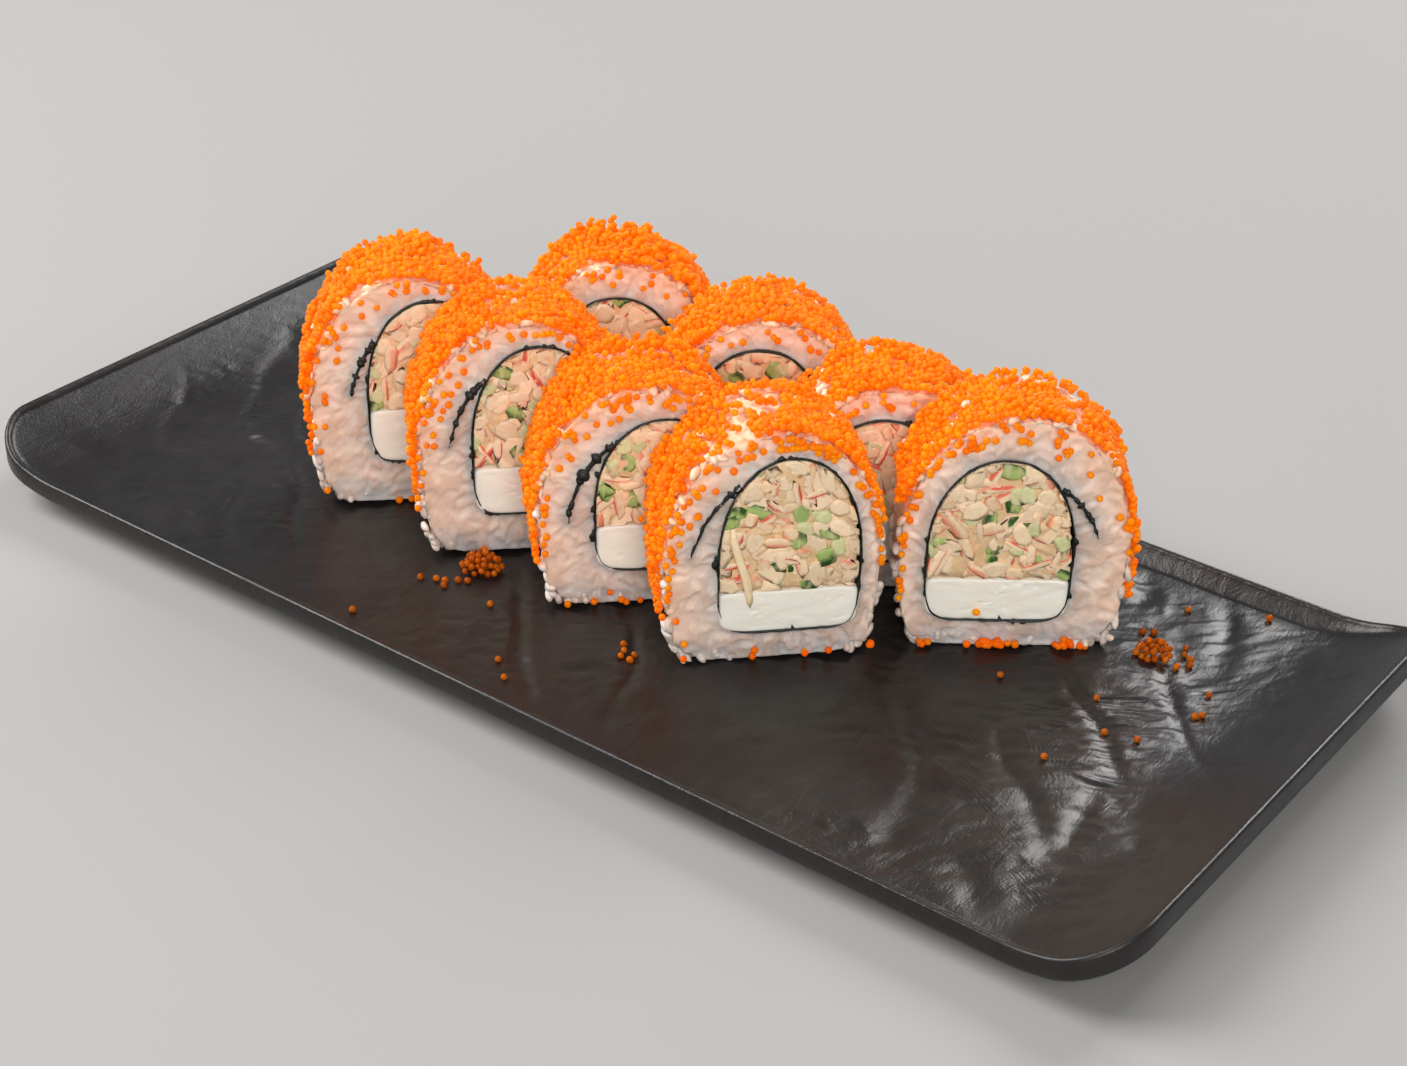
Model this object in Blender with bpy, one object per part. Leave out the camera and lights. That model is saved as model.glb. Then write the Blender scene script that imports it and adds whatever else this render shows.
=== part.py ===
"""Eight pieces of uramaki roll, coated with orange roe, on their black serving plate.

Frame: metres, +Z up, +X along the plate's long side. The origin is under the
middle of the plate, on the surface that its foot stands on.

A slice of the long roll lies on the roll's side, so its two cut faces are
upright. From the outside in it is a coat of roe, a thick
ring of rice, one sheet of nori whose end overlaps and runs out into the rice,
and the filling: a block of cream cheese below and chopped salad above.
"""

import math
from collections import namedtuple

import bmesh
import bpy
import numpy as np

# Plate
PLATE_LENGTH = 0.270
PLATE_WIDTH = 0.1235
PLATE_CORNER_RADIUS = 0.0120
INNER_CORNER_RADIUS = 0.0055
LONG_RIM_HEIGHT = 0.0086
END_RIM_HEIGHT = 0.0160
FLOOR_HEIGHT = 0.0054
RIM_THICKNESS = 0.0011
WALL_RUN = 0.0034
END_RAMP_LENGTH = 0.027
CORNER_RISE_LENGTH = 0.021
SIDE_BOTTOM_HEIGHT = 0.0040
UNDERSIDE_HEIGHT = 0.0030
FOOT_INSET = 0.0145
ARC_STEPS = 6

# Slices of roll
GAP = 0.0003
NORI_THICKNESS = 0.0005
NORI_TAIL_LENGTH = 0.0085
NORI_TAIL_ANGLE = math.radians(15)
NORI_TAIL_BEND = 0.030
NORI_TAIL_ROOT = 0.0034
CUT_EDGE_ROUNDING = 0.0008
WIDEST_LEVEL = 0.42
TOP_POWER = 2.1
RICE_BASE_POWER = 8.0
RICE_TAPER = 0.12
LOOP_BASE_POWER = 6.0
LOOP_TAPER = 0.04
RICE_POINTS = 32
NORI_POINTS = 24
GRAIN_WAVE = 0.00035

# Coat of roe
ROE_MARGIN = 0.0007
ROE_SIDE_THICKNESS = 0.0011
ROE_TOP_THICKNESS = 0.0024
ROE_ARC_POINTS = 18
ROE_STATIONS = 4

# x and y are the middle of the cut face, on the plate; turn is the way the face
# runs, in degrees from the plate's long side. The loop is the sheet of nori: its
# shift is sideways from the slice's middle, and below and above are the rice
# under it and over it. Tail is where on the loop the sheet's end leaves it, in
# degrees round from the right.
Slice = namedtuple(
    "Slice",
    "name x y turn width height depth loop_width shift below above cheese tail roe_from roe_to",
)
LEFT_ROW = dict(loop_width=0.0268, roe_from=28, roe_to=202)
RIGHT_ROW = dict(loop_width=0.0275, roe_from=-20, roe_to=150)
SLICES = (
    Slice(
        name="left_1", x=0.0359, y=-0.0159, turn=45.7, width=0.0415, height=0.0483, depth=0.0197,
        shift=0.0030, below=0.0058, above=0.0058, cheese=0.0088, tail=138, **LEFT_ROW,
    ),
    Slice(
        name="left_2", x=0.0054, y=-0.0157, turn=45.0, width=0.0415, height=0.0465, depth=0.0197,
        shift=0.0038, below=0.0074, above=0.0066, cheese=0.0098, tail=140, **LEFT_ROW,
    ),
    Slice(
        name="left_3", x=-0.0252, y=-0.0160, turn=45.0, width=0.0410, height=0.0504, depth=0.0197,
        shift=0.0038, below=0.0084, above=0.0051, cheese=0.0106, tail=139, **LEFT_ROW,
    ),
    Slice(
        name="left_4", x=-0.0550, y=-0.0150, turn=44.5, width=0.0415, height=0.0504, depth=0.0197,
        shift=0.0044, below=0.0092, above=0.0051, cheese=0.0120, tail=143, **LEFT_ROW,
    ),
    Slice(
        name="right_1", x=0.0683, y=0.0151, turn=37.4, width=0.0440, height=0.0492, depth=0.0182,
        shift=-0.0026, below=0.0057, above=0.0090, cheese=0.0090, tail=38, **RIGHT_ROW,
    ),
    Slice(
        name="right_2", x=0.0385, y=0.0175, turn=39.5, width=0.0430, height=0.0436, depth=0.0194,
        shift=-0.0015, below=0.0060, above=0.0064, cheese=0.0096, tail=136, **RIGHT_ROW,
    ),
    Slice(
        name="right_3", x=0.0060, y=0.0210, turn=40.5, width=0.0430, height=0.0462, depth=0.0196,
        shift=-0.0010, below=0.0060, above=0.0060, cheese=0.0100, tail=42, **RIGHT_ROW,
    ),
    Slice(
        name="right_4", x=-0.0310, y=0.0220, turn=42.0, width=0.0420, height=0.0475, depth=0.0196,
        shift=-0.0010, below=0.0065, above=0.0078, cheese=0.0104, tail=138, **RIGHT_ROW,
    ),
)


def clear_scene():
    for obj in list(bpy.data.objects):
        bpy.data.objects.remove(obj, do_unlink=True)


def new_collection(name):
    collection = bpy.data.collections.new(name)
    bpy.context.scene.collection.children.link(collection)
    return collection


def new_material(name, colour, roughness, metallic=0.0):
    material = bpy.data.materials.new(name)
    material.use_nodes = True
    shader = material.node_tree.nodes["Principled BSDF"]
    shader.inputs["Base Color"].default_value = (*colour, 1.0)
    shader.inputs["Roughness"].default_value = roughness
    shader.inputs["Metallic"].default_value = metallic
    material.diffuse_color = (*colour, 1.0)
    return material


def add_mesh(name, bm, material, collection):
    """Turn a bmesh into an object with outward normals."""
    bmesh.ops.recalc_face_normals(bm, faces=bm.faces)
    mesh = bpy.data.meshes.new(name)
    bm.to_mesh(mesh)
    bm.free()
    mesh.materials.append(material)
    obj = bpy.data.objects.new(name, mesh)
    collection.objects.link(obj)
    return obj


# ---------------------------------------------------------------- plate


def smooth_rise(distance, length):
    """0 until the last `length` before an end, then a parabola up to 1."""
    return np.clip(distance / length, 0.0, 1.0) ** 2


def end_distance(x, length):
    """How far x reaches into the last `length` of the plate, at either end."""
    return np.abs(x) - (PLATE_LENGTH / 2 - length)


def rim_height(x):
    rise = smooth_rise(end_distance(x, CORNER_RISE_LENGTH), CORNER_RISE_LENGTH)
    return LONG_RIM_HEIGHT + (END_RIM_HEIGHT - LONG_RIM_HEIGHT) * rise


def floor_height(x):
    """Flat in the middle, with a wide ramp up to the rim at both ends."""
    rise = smooth_rise(end_distance(x, END_RAMP_LENGTH), END_RAMP_LENGTH)
    return FLOOR_HEIGHT + (END_RIM_HEIGHT - 0.0004 - FLOOR_HEIGHT) * rise


def plan_loop(inset):
    """A rounded rectangle, `inset` inside the plate's outline, as plan points.

    Extra points along the long sides carry the rim's rise at the corners."""
    half_x = PLATE_LENGTH / 2 - inset
    half_y = PLATE_WIDTH / 2 - inset
    radius = max(PLATE_CORNER_RADIUS - inset, INNER_CORNER_RADIUS)
    side_x = np.array([0.80, 0.92, 1.0]) * (half_x - radius)
    points = []
    for quarter in range(4):
        turn = quarter * math.pi / 2
        sign_x = 1 if quarter in (0, 3) else -1
        sign_y = 1 if quarter in (0, 1) else -1
        angles = turn + np.linspace(0, math.pi / 2, ARC_STEPS + 1)
        arc_x = sign_x * (half_x - radius) + radius * np.cos(angles)
        arc_y = sign_y * (half_y - radius) + radius * np.sin(angles)
        arc = list(zip(arc_x, arc_y))
        extra = [(sign_x * x, sign_y * half_y) for x in side_x[:-1]]
        points += arc + extra[::-1] if quarter in (0, 2) else extra + arc
    return np.array(points)


def plate_loops():
    """The plate's section from foot to floor, as loops of 3-D points."""
    top = RIM_THICKNESS
    wall_foot = top + WALL_RUN

    def loop(inset, height):
        plan = plan_loop(inset)
        return np.column_stack([plan, height(plan[:, 0])])

    def side_lift(x):
        return 0.8 * (rim_height(x) - LONG_RIM_HEIGHT)

    def inner_wall(inset):
        drop = (LONG_RIM_HEIGHT - FLOOR_HEIGHT) * ((inset - top) / WALL_RUN) ** 0.8
        return lambda x: np.maximum(rim_height(x) - drop, floor_height(x))

    loops = [
        loop(FOOT_INSET, lambda x: 0 * x),
        loop(FOOT_INSET - 0.0012, lambda x: 0 * x + UNDERSIDE_HEIGHT),
        loop(0.0012, lambda x: SIDE_BOTTOM_HEIGHT + side_lift(x)),
        loop(0.0, lambda x: SIDE_BOTTOM_HEIGHT + 0.0012 + side_lift(x)),
        loop(0.0, lambda x: rim_height(x) - 0.0006),
        loop(0.0004, rim_height),
        loop(top, rim_height),
        loop(top + 0.35 * WALL_RUN, inner_wall(top + 0.35 * WALL_RUN)),
        loop(wall_foot, floor_height),
    ]
    loops += [loop(inset, floor_height) for inset in (0.009, 0.014, 0.020, END_RAMP_LENGTH)]
    return loops


def make_plate(material, collection):
    """Loft the section's loops into one closed solid."""
    bm = bmesh.new()
    rings = [[bm.verts.new(point) for point in loop] for loop in plate_loops()]
    count = len(rings[0])
    for lower, upper in zip(rings, rings[1:]):
        for i in range(count):
            j = (i + 1) % count
            bm.faces.new((lower[i], lower[j], upper[j], upper[i]))
    bm.faces.new(rings[0][::-1])
    bm.faces.new(rings[-1])
    obj = add_mesh("plate", bm, material, collection)
    obj.data.shade_smooth()
    obj.data.set_sharp_from_angle(angle=math.radians(35))
    return obj


# ---------------------------------------------------------------- outlines


def arch_points(width, height, base, bearings, power, taper):
    """An arch on a nearly flat base: two superellipse halves that share their
    widest level, with sides that lean in by `taper` towards the base. Returns the
    points at these bearings from the middle of that level, x sideways and y up."""
    c = np.cos(bearings)
    s = np.sin(bearings)
    level = WIDEST_LEVEL * height
    upper = s >= 0
    power = np.where(upper, TOP_POWER, power)
    reach = np.where(upper, height - level, level)
    radius = (np.abs(2 * c / width) ** power + np.abs(s / reach) ** power) ** (-1 / power)
    down = np.where(upper, 0.0, radius * s / level)
    return np.column_stack([radius * c * (1 - taper * down ** 2), base + level + radius * s])


def rice_arch(piece, bearings, grow=0.0):
    """The outside of a slice's rice, or an arch that stands `grow` outside it."""
    width = piece.width + 2 * grow
    return arch_points(width, piece.height + grow, 0, bearings, RICE_BASE_POWER, RICE_TAPER)


def nori_arch(piece, bearings, shrink=0.0):
    """The outside of a slice's loop of nori, or an arch `shrink` inside it."""
    width = piece.loop_width - 2 * shrink
    height = piece.height - piece.below - piece.above - 2 * shrink
    arch = arch_points(width, height, piece.below + shrink, bearings, LOOP_BASE_POWER, LOOP_TAPER)
    return arch + np.array([piece.shift, 0])


def full_turn(count):
    return np.linspace(0, 2 * math.pi, count, endpoint=False)


def grain_wave(angles, phase):
    """The uneven outside of the rice, flat where it stands on the plate."""
    lift = 0.5 * np.sin(7 * angles + phase) + 0.5 * np.sin(11 * angles + 2 * phase)
    return GRAIN_WAVE * (lift - 1) * np.clip(1 + 1.6 * np.sin(angles), 0, 1)


def outward(points):
    """Unit normals of a counter-clockwise closed outline."""
    along = np.roll(points, -1, axis=0) - np.roll(points, 1, axis=0)
    normal = np.column_stack([along[:, 1], -along[:, 0]])
    return normal / np.linalg.norm(normal, axis=1)[:, None]


def tail_line(outline, turn):
    """The middle line of the nori's free end. It leaves the loop where the loop
    faces `turn`, at a shallow angle, and bends gently back along the loop.
    Returns its points and the direction in which it sets off."""
    centre = outline.mean(axis=0)
    bearing = np.degrees(np.arctan2(*(outline - centre)[:, ::-1].T)) % 360
    k = int(np.argmin(np.abs(bearing - turn)))
    side = 1 if turn > 90 else -1
    along = side * (outline[(k + 1) % len(outline)] - outline[k - 1])
    along /= np.linalg.norm(along)
    out = outward(outline)[k]
    reach = NORI_TAIL_LENGTH * np.linspace(0, 1, 4)
    spread = math.tan(NORI_TAIL_ANGLE) * reach - reach ** 2 / (2 * NORI_TAIL_BEND)
    return outline[k] + reach[:, None] * along + spread[:, None] * out, along, out, side


def with_tail(outline, tail, grow):
    """Add the tail to an outline as a thin spur. `grow` is how far the outline
    stands outside the nori's own, for the slot that the tail lies in."""
    middle, along, out, side = tail
    half = NORI_THICKNESS / 2 + grow
    slope = math.tan(NORI_TAIL_ANGLE)
    root = middle[0] + grow * (out + along / slope)
    base = half / math.sin(NORI_TAIL_ANGLE)
    direction = np.gradient(middle, axis=0)
    direction /= np.linalg.norm(direction, axis=1)[:, None]
    normal = direction[:, ::-1] * np.array([1, -1]) * side
    end = middle[-1] + grow * direction[-1]
    near = [root + base * along, *(middle - half * normal)[1:-1], end - half * normal[-1]]
    far = [root - base * along, *(middle + half * normal)[1:-1], end + half * normal[-1]]
    spur = far + near[::-1] if side > 0 else near + far[::-1]
    clear = np.linalg.norm(outline - middle[0], axis=1) > NORI_TAIL_ROOT
    start = int(np.argmin(clear))
    return np.array([*outline[:start], *spur, *outline[start:][clear[start:]]])


def clip_outline(outline, level, keep_above):
    """Keep the part of a convex outline above or below a level."""
    kept = []
    for a, b in zip(outline, np.roll(outline, -1, axis=0)):
        a_in = (a[1] >= level) == keep_above
        b_in = (b[1] >= level) == keep_above
        if a_in:
            kept.append(a)
        if a_in != b_in:
            kept.append(a + (b - a) * (level - a[1]) / (b[1] - a[1]))
    return np.array(kept)


# ---------------------------------------------------------------- pieces


def slab(name, loops, depth, material, parent, collection):
    """A flat outline, with any holes, as thick as the slice: a filled 2-D curve
    turned into a closed mesh, standing upright on its parent's origin."""
    curve = bpy.data.curves.new(name + "_outline", "CURVE")
    curve.dimensions = "2D"
    curve.fill_mode = "BOTH"
    curve.extrude = depth / 2
    for loop in loops:
        spline = curve.splines.new("POLY")
        spline.points.add(len(loop) - 1)
        spline.points.foreach_set("co", np.column_stack([loop, 0 * loop[:, :1], 0 * loop[:, :1] + 1]).ravel())
        spline.use_cyclic_u = True
    guide = bpy.data.objects.new(name + "_outline", curve)
    collection.objects.link(guide)
    graph = bpy.context.evaluated_depsgraph_get()
    mesh = bpy.data.meshes.new_from_object(guide.evaluated_get(graph))
    bpy.data.objects.remove(guide, do_unlink=True)
    bm = bmesh.new()
    bm.from_mesh(mesh)
    bpy.data.meshes.remove(mesh)
    bmesh.ops.remove_doubles(bm, verts=bm.verts, dist=1e-6)
    obj = add_mesh(name, bm, material, collection)
    obj.parent = parent
    obj.rotation_euler = (math.pi / 2, 0, 0)
    return obj


def round_cut_edges(obj, outer_points):
    """Ease the rice's outer edges, where the knife left the slice."""
    bm = bmesh.new()
    bm.from_mesh(obj.data)
    outer = {tuple(np.round(p, 6)) for p in outer_points}
    on_rim = {v for v in bm.verts if tuple(np.round(v.co[:2], 6)) in outer}
    edges = [
        e for e in bm.edges
        if e.verts[0] in on_rim and e.verts[1] in on_rim
        and abs(e.verts[0].co.z - e.verts[1].co.z) < 1e-6
        and len({round(f.normal.z) for f in e.link_faces}) > 1
    ]
    bmesh.ops.bevel(bm, geom=edges, offset=CUT_EDGE_ROUNDING, segments=1, profile=0.5, affect="EDGES")
    bm.to_mesh(obj.data)
    bm.free()


def roe_coat(piece, phase, material, parent, collection):
    """A crust of roe over the rice: two grids, the inner one a gap above the
    rice and the outer one lifted by an uneven thickness, closed round the edge."""
    angles = np.radians(np.linspace(piece.roe_from, piece.roe_to, ROE_ARC_POINTS))
    skin = rice_arch(piece, angles)
    normal = rice_arch(piece, angles, grow=1e-4) - skin
    normal /= np.linalg.norm(normal, axis=1)[:, None]
    inner = skin + normal * 1.5 * GAP
    topness = np.clip(np.sin(angles), 0, 1) ** 0.7
    across = np.linspace(0, 1, ROE_STATIONS)
    grid = []
    for j, v in enumerate(across):
        edge = 0.55 + 0.45 * math.sin(math.pi * v)
        wave = 0.0004 * np.sin(9 * angles + phase + 2 * j) + 0.0003 * np.sin(17 * angles + 3 * j)
        thick = (ROE_SIDE_THICKNESS + (ROE_TOP_THICKNESS - ROE_SIDE_THICKNESS) * topness) * edge
        outer = inner + normal * np.maximum(thick + wave, 0.0006)[:, None]
        margin = ROE_MARGIN * (1 + 0.5 * np.sin(6 * angles + phase))
        place = (piece.depth / 2 - margin) * (2 * v - 1)
        grid.append((np.column_stack([inner, place]), np.column_stack([outer, place])))
    bm = bmesh.new()
    lower = [[bm.verts.new(p) for p in row[0]] for row in grid]
    upper = [[bm.verts.new(p) for p in row[1]] for row in grid]
    last_j = ROE_STATIONS - 1
    last_i = ROE_ARC_POINTS - 1
    for j in range(last_j):
        for i in range(last_i):
            bm.faces.new((lower[j][i], lower[j + 1][i], lower[j + 1][i + 1], lower[j][i + 1]))
            bm.faces.new((upper[j][i], upper[j][i + 1], upper[j + 1][i + 1], upper[j + 1][i]))
    for j in range(last_j):
        for i in (0, last_i):
            bm.faces.new((lower[j][i], upper[j][i], upper[j + 1][i], lower[j + 1][i]))
    for i in range(last_i):
        for j in (0, last_j):
            bm.faces.new((lower[j][i], lower[j][i + 1], upper[j][i + 1], upper[j][i]))
    obj = add_mesh(f"roe_{piece.name}", bm, material, collection)
    obj.parent = parent
    obj.rotation_euler = (math.pi / 2, 0, 0)
    return obj


def make_piece(piece, phase, materials, collection):
    """One slice of roll, its nodes parented to an empty in the slice's middle."""
    turn = math.radians(piece.turn)
    stand = bpy.data.objects.new(f"roll_{piece.name}", None)
    collection.objects.link(stand)
    back = piece.depth / 2
    middle = (piece.x - back * math.sin(turn), piece.y + back * math.cos(turn))
    stand.location = (*middle, FLOOR_HEIGHT + GAP)
    stand.rotation_euler = (0, 0, turn)

    angles = full_turn(RICE_POINTS)
    rice_outer = rice_arch(piece, angles)
    rice_outer = rice_outer + outward(rice_outer) * grain_wave(angles, phase)[:, None]
    loop_angles = full_turn(NORI_POINTS)
    sheet = nori_arch(piece, loop_angles)
    tail = tail_line(sheet, piece.tail)
    rice_hole = with_tail(nori_arch(piece, loop_angles, -GAP), tail, GAP)
    nori_outer = with_tail(sheet, tail, 0.0)
    nori_inner = nori_arch(piece, loop_angles, NORI_THICKNESS)
    filling = nori_arch(piece, loop_angles, NORI_THICKNESS + GAP)
    level = piece.below + NORI_THICKNESS + piece.cheese
    cheese = clip_outline(filling, level, keep_above=False)
    salad = clip_outline(filling, level + GAP, keep_above=True)

    def layer(kind, loops):
        return slab(f"{kind}_{piece.name}", loops, piece.depth, materials[kind], stand, collection)

    rice = layer("rice", [rice_outer, rice_hole])
    round_cut_edges(rice, rice_outer)
    layer("nori", [nori_outer, nori_inner])
    layer("cheese", [cheese])
    layer("salad", [salad])
    roe_coat(piece, phase, materials["roe"], stand, collection)


def roe_heap(name, x, y, radius_x, radius_y, height, material, collection):
    """A low heap of fallen roe: a dome on a flat base, a gap above the plate."""
    bm = bmesh.new()
    bmesh.ops.create_uvsphere(bm, u_segments=10, v_segments=6, radius=1.0)
    bmesh.ops.bisect_plane(
        bm, geom=bm.verts[:] + bm.edges[:] + bm.faces[:],
        plane_co=(0, 0, -0.02), plane_no=(0, 0, -1), clear_outer=True,
    )
    bmesh.ops.holes_fill(bm, edges=[e for e in bm.edges if e.is_boundary], sides=0)
    for vert in bm.verts:
        bearing = math.atan2(vert.co.y, vert.co.x)
        reach = 1 + 0.16 * math.sin(3 * bearing + 40 * radius_x * 10)
        vert.co.x *= radius_x * reach
        vert.co.y *= radius_y * reach
        vert.co.z = max(vert.co.z, 0.0) * height
    obj = add_mesh(name, bm, material, collection)
    obj.location = (x, y, FLOOR_HEIGHT + GAP)
    return obj


def main():
    clear_scene()
    collection = new_collection("uramaki_roll")
    materials = {
        "plate": new_material("plate", (0.020, 0.019, 0.018), 0.42),
        "rice": new_material("rice", (0.80, 0.70, 0.62), 0.45),
        "nori": new_material("nori", (0.012, 0.018, 0.014), 0.50),
        "cheese": new_material("cheese", (0.86, 0.82, 0.72), 0.55),
        "salad": new_material("salad", (0.72, 0.60, 0.42), 0.45),
        "roe": new_material("roe", (0.85, 0.24, 0.02), 0.25),
    }
    make_plate(materials["plate"], collection)
    for k, piece in enumerate(SLICES):
        make_piece(piece, 1.7 * k, materials, collection)
    roe_heap("roe_heap_front", -0.0275, -0.0265, 0.0044, 0.0040, 0.0034, materials["roe"], collection)
    roe_heap("roe_heap_end", 0.0915, 0.0300, 0.0038, 0.0036, 0.0032, materials["roe"], collection)


main()
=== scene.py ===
# %% [markdown]
# # Eight slices of uramaki roll on a black plate
#
# The solids of this model are a plate and eight slices, each with a ring of rice, a
# sheet of nori, a block of cream cheese, chopped salad and a coat of roe. They are
# plain and smooth. This notebook builds what the eye sees in their place: pressed
# grains of rice, crinkled nori, shreds of surimi and nearly nine thousand eggs.
#
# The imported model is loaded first. It never moves, and every size and place below is
# worked out from it.

import math
from collections import namedtuple

import bmesh
import bpy
import numpy as np
from mathutils import Matrix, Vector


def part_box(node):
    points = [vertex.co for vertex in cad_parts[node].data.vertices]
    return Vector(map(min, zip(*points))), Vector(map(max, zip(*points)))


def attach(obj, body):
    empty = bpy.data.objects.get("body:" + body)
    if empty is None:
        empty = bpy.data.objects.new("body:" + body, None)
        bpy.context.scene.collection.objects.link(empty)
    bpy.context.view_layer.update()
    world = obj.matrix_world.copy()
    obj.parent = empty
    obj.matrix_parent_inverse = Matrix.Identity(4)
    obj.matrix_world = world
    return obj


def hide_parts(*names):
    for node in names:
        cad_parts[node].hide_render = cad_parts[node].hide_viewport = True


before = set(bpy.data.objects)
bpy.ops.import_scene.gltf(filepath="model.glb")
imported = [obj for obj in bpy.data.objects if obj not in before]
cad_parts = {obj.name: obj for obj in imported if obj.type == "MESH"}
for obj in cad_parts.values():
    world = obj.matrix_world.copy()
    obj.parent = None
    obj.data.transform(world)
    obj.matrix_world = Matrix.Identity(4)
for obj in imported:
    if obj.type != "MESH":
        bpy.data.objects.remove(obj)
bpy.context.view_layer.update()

MM = 0.001

# %% [markdown]
# ## From numbers to meshes
#
# Nearly every piece here is a stack of rings: a closed outline that is carried along a
# path. Python could loop over each point, but that is slow for a million faces. So a
# whole stack is one numpy array of shape (rings, points around, 3), and its triangles
# come from index arithmetic. A stack either closes on itself, like a tyre, or ends in
# one middle point at each end, like a barrel. The sign of the volume tells whether the
# faces look outwards, and if it is negative they are all turned round.


# %% Mesh helpers
def ring_faces(rings, around, closed):
    """Two triangles for each cell between ring i and ring i + 1, point j and point
    j + 1, counted round in j and, when closed, in i as well."""
    last = rings if closed else rings - 1
    i, j = np.meshgrid(np.arange(last), np.arange(around), indexing="ij")
    here, there = i * around, ((i + 1) % rings) * around
    turn = (j + 1) % around
    a, b, c, d = here + j, here + turn, there + turn, there + j
    both = [np.stack([a, b, c], axis=-1), np.stack([a, c, d], axis=-1)]
    return np.concatenate([t.reshape(-1, 3) for t in both])


def stack(rings, closed=False, capped=(True, True)):
    """Points and triangles of a stack of rings. An open stack gets a middle point, the
    mean of its end ring, at each capped end, joined to that ring by a fan."""
    count, around = rings.shape[:2]
    points = rings.reshape(-1, 3)
    faces = ring_faces(count, around, closed)
    j = np.arange(around)
    turn = (j + 1) % around
    for ring, start, wanted in ((0, 0, capped[0]), (-1, (count - 1) * around, capped[1])):
        if closed or not wanted:
            continue
        middle = np.full(around, len(points))
        edge = (turn, j) if ring == 0 else (start + j, start + turn)
        points = np.concatenate([points, rings[ring].mean(axis=0, keepdims=True)])
        faces = np.concatenate([faces, np.stack([*edge, middle], axis=-1)])
    return points, faces


def volume(points, faces):
    """The sum over triangles of one sixth of a . (b x c): positive if they look out."""
    a, b, c = (points[faces[:, k]] for k in range(3))
    return np.einsum("ij,ij->i", a, np.cross(b, c)).sum() / 6


def put(name, data):
    """A new object in the scene."""
    made = bpy.data.objects.new(name, data)
    bpy.context.scene.collection.objects.link(made)
    return made


def new_piece(name, points, faces, colours=None, smooth=True):
    """An object from arrays. `colours` is one (r, g, b) per point, kept on the mesh as
    the attribute `look`, which the materials read."""
    if volume(points - points.mean(axis=0), faces) < 0:
        faces = faces[:, ::-1]
    mesh = bpy.data.meshes.new(name)
    mesh.vertices.add(len(points))
    mesh.vertices.foreach_set("co", points.astype(np.float32).ravel())
    mesh.loops.add(faces.size)
    mesh.loops.foreach_set("vertex_index", faces.astype(np.int32).ravel())
    mesh.polygons.add(len(faces))
    mesh.polygons.foreach_set("loop_start", np.arange(0, faces.size, 3, dtype=np.int32))
    if colours is not None:
        rgba = np.column_stack([colours, np.ones(len(points))]).astype(np.float32)
        look = mesh.attributes.new("look", "FLOAT_COLOR", "POINT")
        look.data.foreach_set("color", rgba.ravel())
    mesh.update(calc_edges=True)
    mesh.validate()
    if smooth:
        mesh.shade_smooth()
    return put(name, mesh)


def settle(piece, material, slot, *nodes):
    """Give a finished piece its material and its body, and hide the parts it stands for; `slot` is
    not used.
    """
    piece.data.materials.append(material)
    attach(piece, "root")
    if nodes:
        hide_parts(*nodes)
    print(f"{piece.name}: {len(piece.data.polygons)} triangles")
    return piece


def many(shape, faces, places):
    """Copies of one small shape as a single mesh. `places` is (n, points, 3), each
    copy's points already in place; the triangles repeat with a shifted count."""
    count, size = places.shape[:2]
    shift = np.arange(count)[:, None, None] * size
    return places.reshape(-1, 3), (faces[None] + shift).reshape(-1, 3)


def unit(vectors):
    """Each vector divided by its length."""
    return vectors / np.linalg.norm(vectors, axis=-1, keepdims=True)


def run_along(line):
    """How far along a line each of its points lies: the running sum of its steps."""
    return np.concatenate([[0], np.cumsum(np.linalg.norm(np.diff(line, axis=0), axis=1))])


def beside(line):
    """The unit direction across a line in its plane, at each of its points."""
    along = unit(np.gradient(line, axis=0))
    return np.stack([along[:, 1], -along[:, 0]], axis=-1)


# %% [markdown]
# ## Noise
#
# Food is never regular, so most shapes need a smooth random wave. This one puts a
# random number at every corner of a square mesh of cells and blends between them with
# the curve 3t² - 2t³. It works on whole arrays and gives the same wave each time.


# %% Noise
def waves(x, y, cell, seed, octaves=1):
    """Smooth noise from -1 to 1 over a plane. Each further octave halves the cell and
    the height."""
    table = np.random.default_rng(seed).uniform(-1, 1, (64, 64))
    total, height = 0.0, 1.0
    for octave in range(octaves):
        u, v = x / cell * 2 ** octave + 7.3 * octave, y / cell * 2 ** octave + 3.1 * octave
        i, j = np.floor(u).astype(int), np.floor(v).astype(int)
        s, t = u - i, v - j
        s, t = s * s * (3 - 2 * s), t * t * (3 - 2 * t)
        i0, i1, j0, j1 = i % 64, (i + 1) % 64, j % 64, (j + 1) % 64
        low = table[i0, j0] * (1 - s) + table[i1, j0] * s
        high = table[i0, j1] * (1 - s) + table[i1, j1] * s
        total = total + height * (low * (1 - t) + high * t)
        height /= 2
    return total / (2 - 2 * height)


# %% [markdown]
# ## Reading the slices from the model
#
# Each slice lies turned on the plate, so its own directions have to be found: `along`
# its cut face, `out` of that face, and up. The block of cheese gives them, because seen
# from above it is a rectangle, and the outermost points of a turned rectangle are its
# corners. Rice, salad and cheese then give the widths and heights.


# %% Measure the slices
SOLID_NORI = 0.5 * MM
CLEARANCE = 0.3 * MM

Slice = namedtuple(
    "Slice", "name middle along out width height depth left right bottom top cheese_top",
)


def node_points(node):
    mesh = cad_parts[node].data
    flat = np.empty(3 * len(mesh.vertices), dtype=np.float32)
    mesh.vertices.foreach_get("co", flat)
    return flat.reshape(-1, 3).astype(float)


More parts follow.
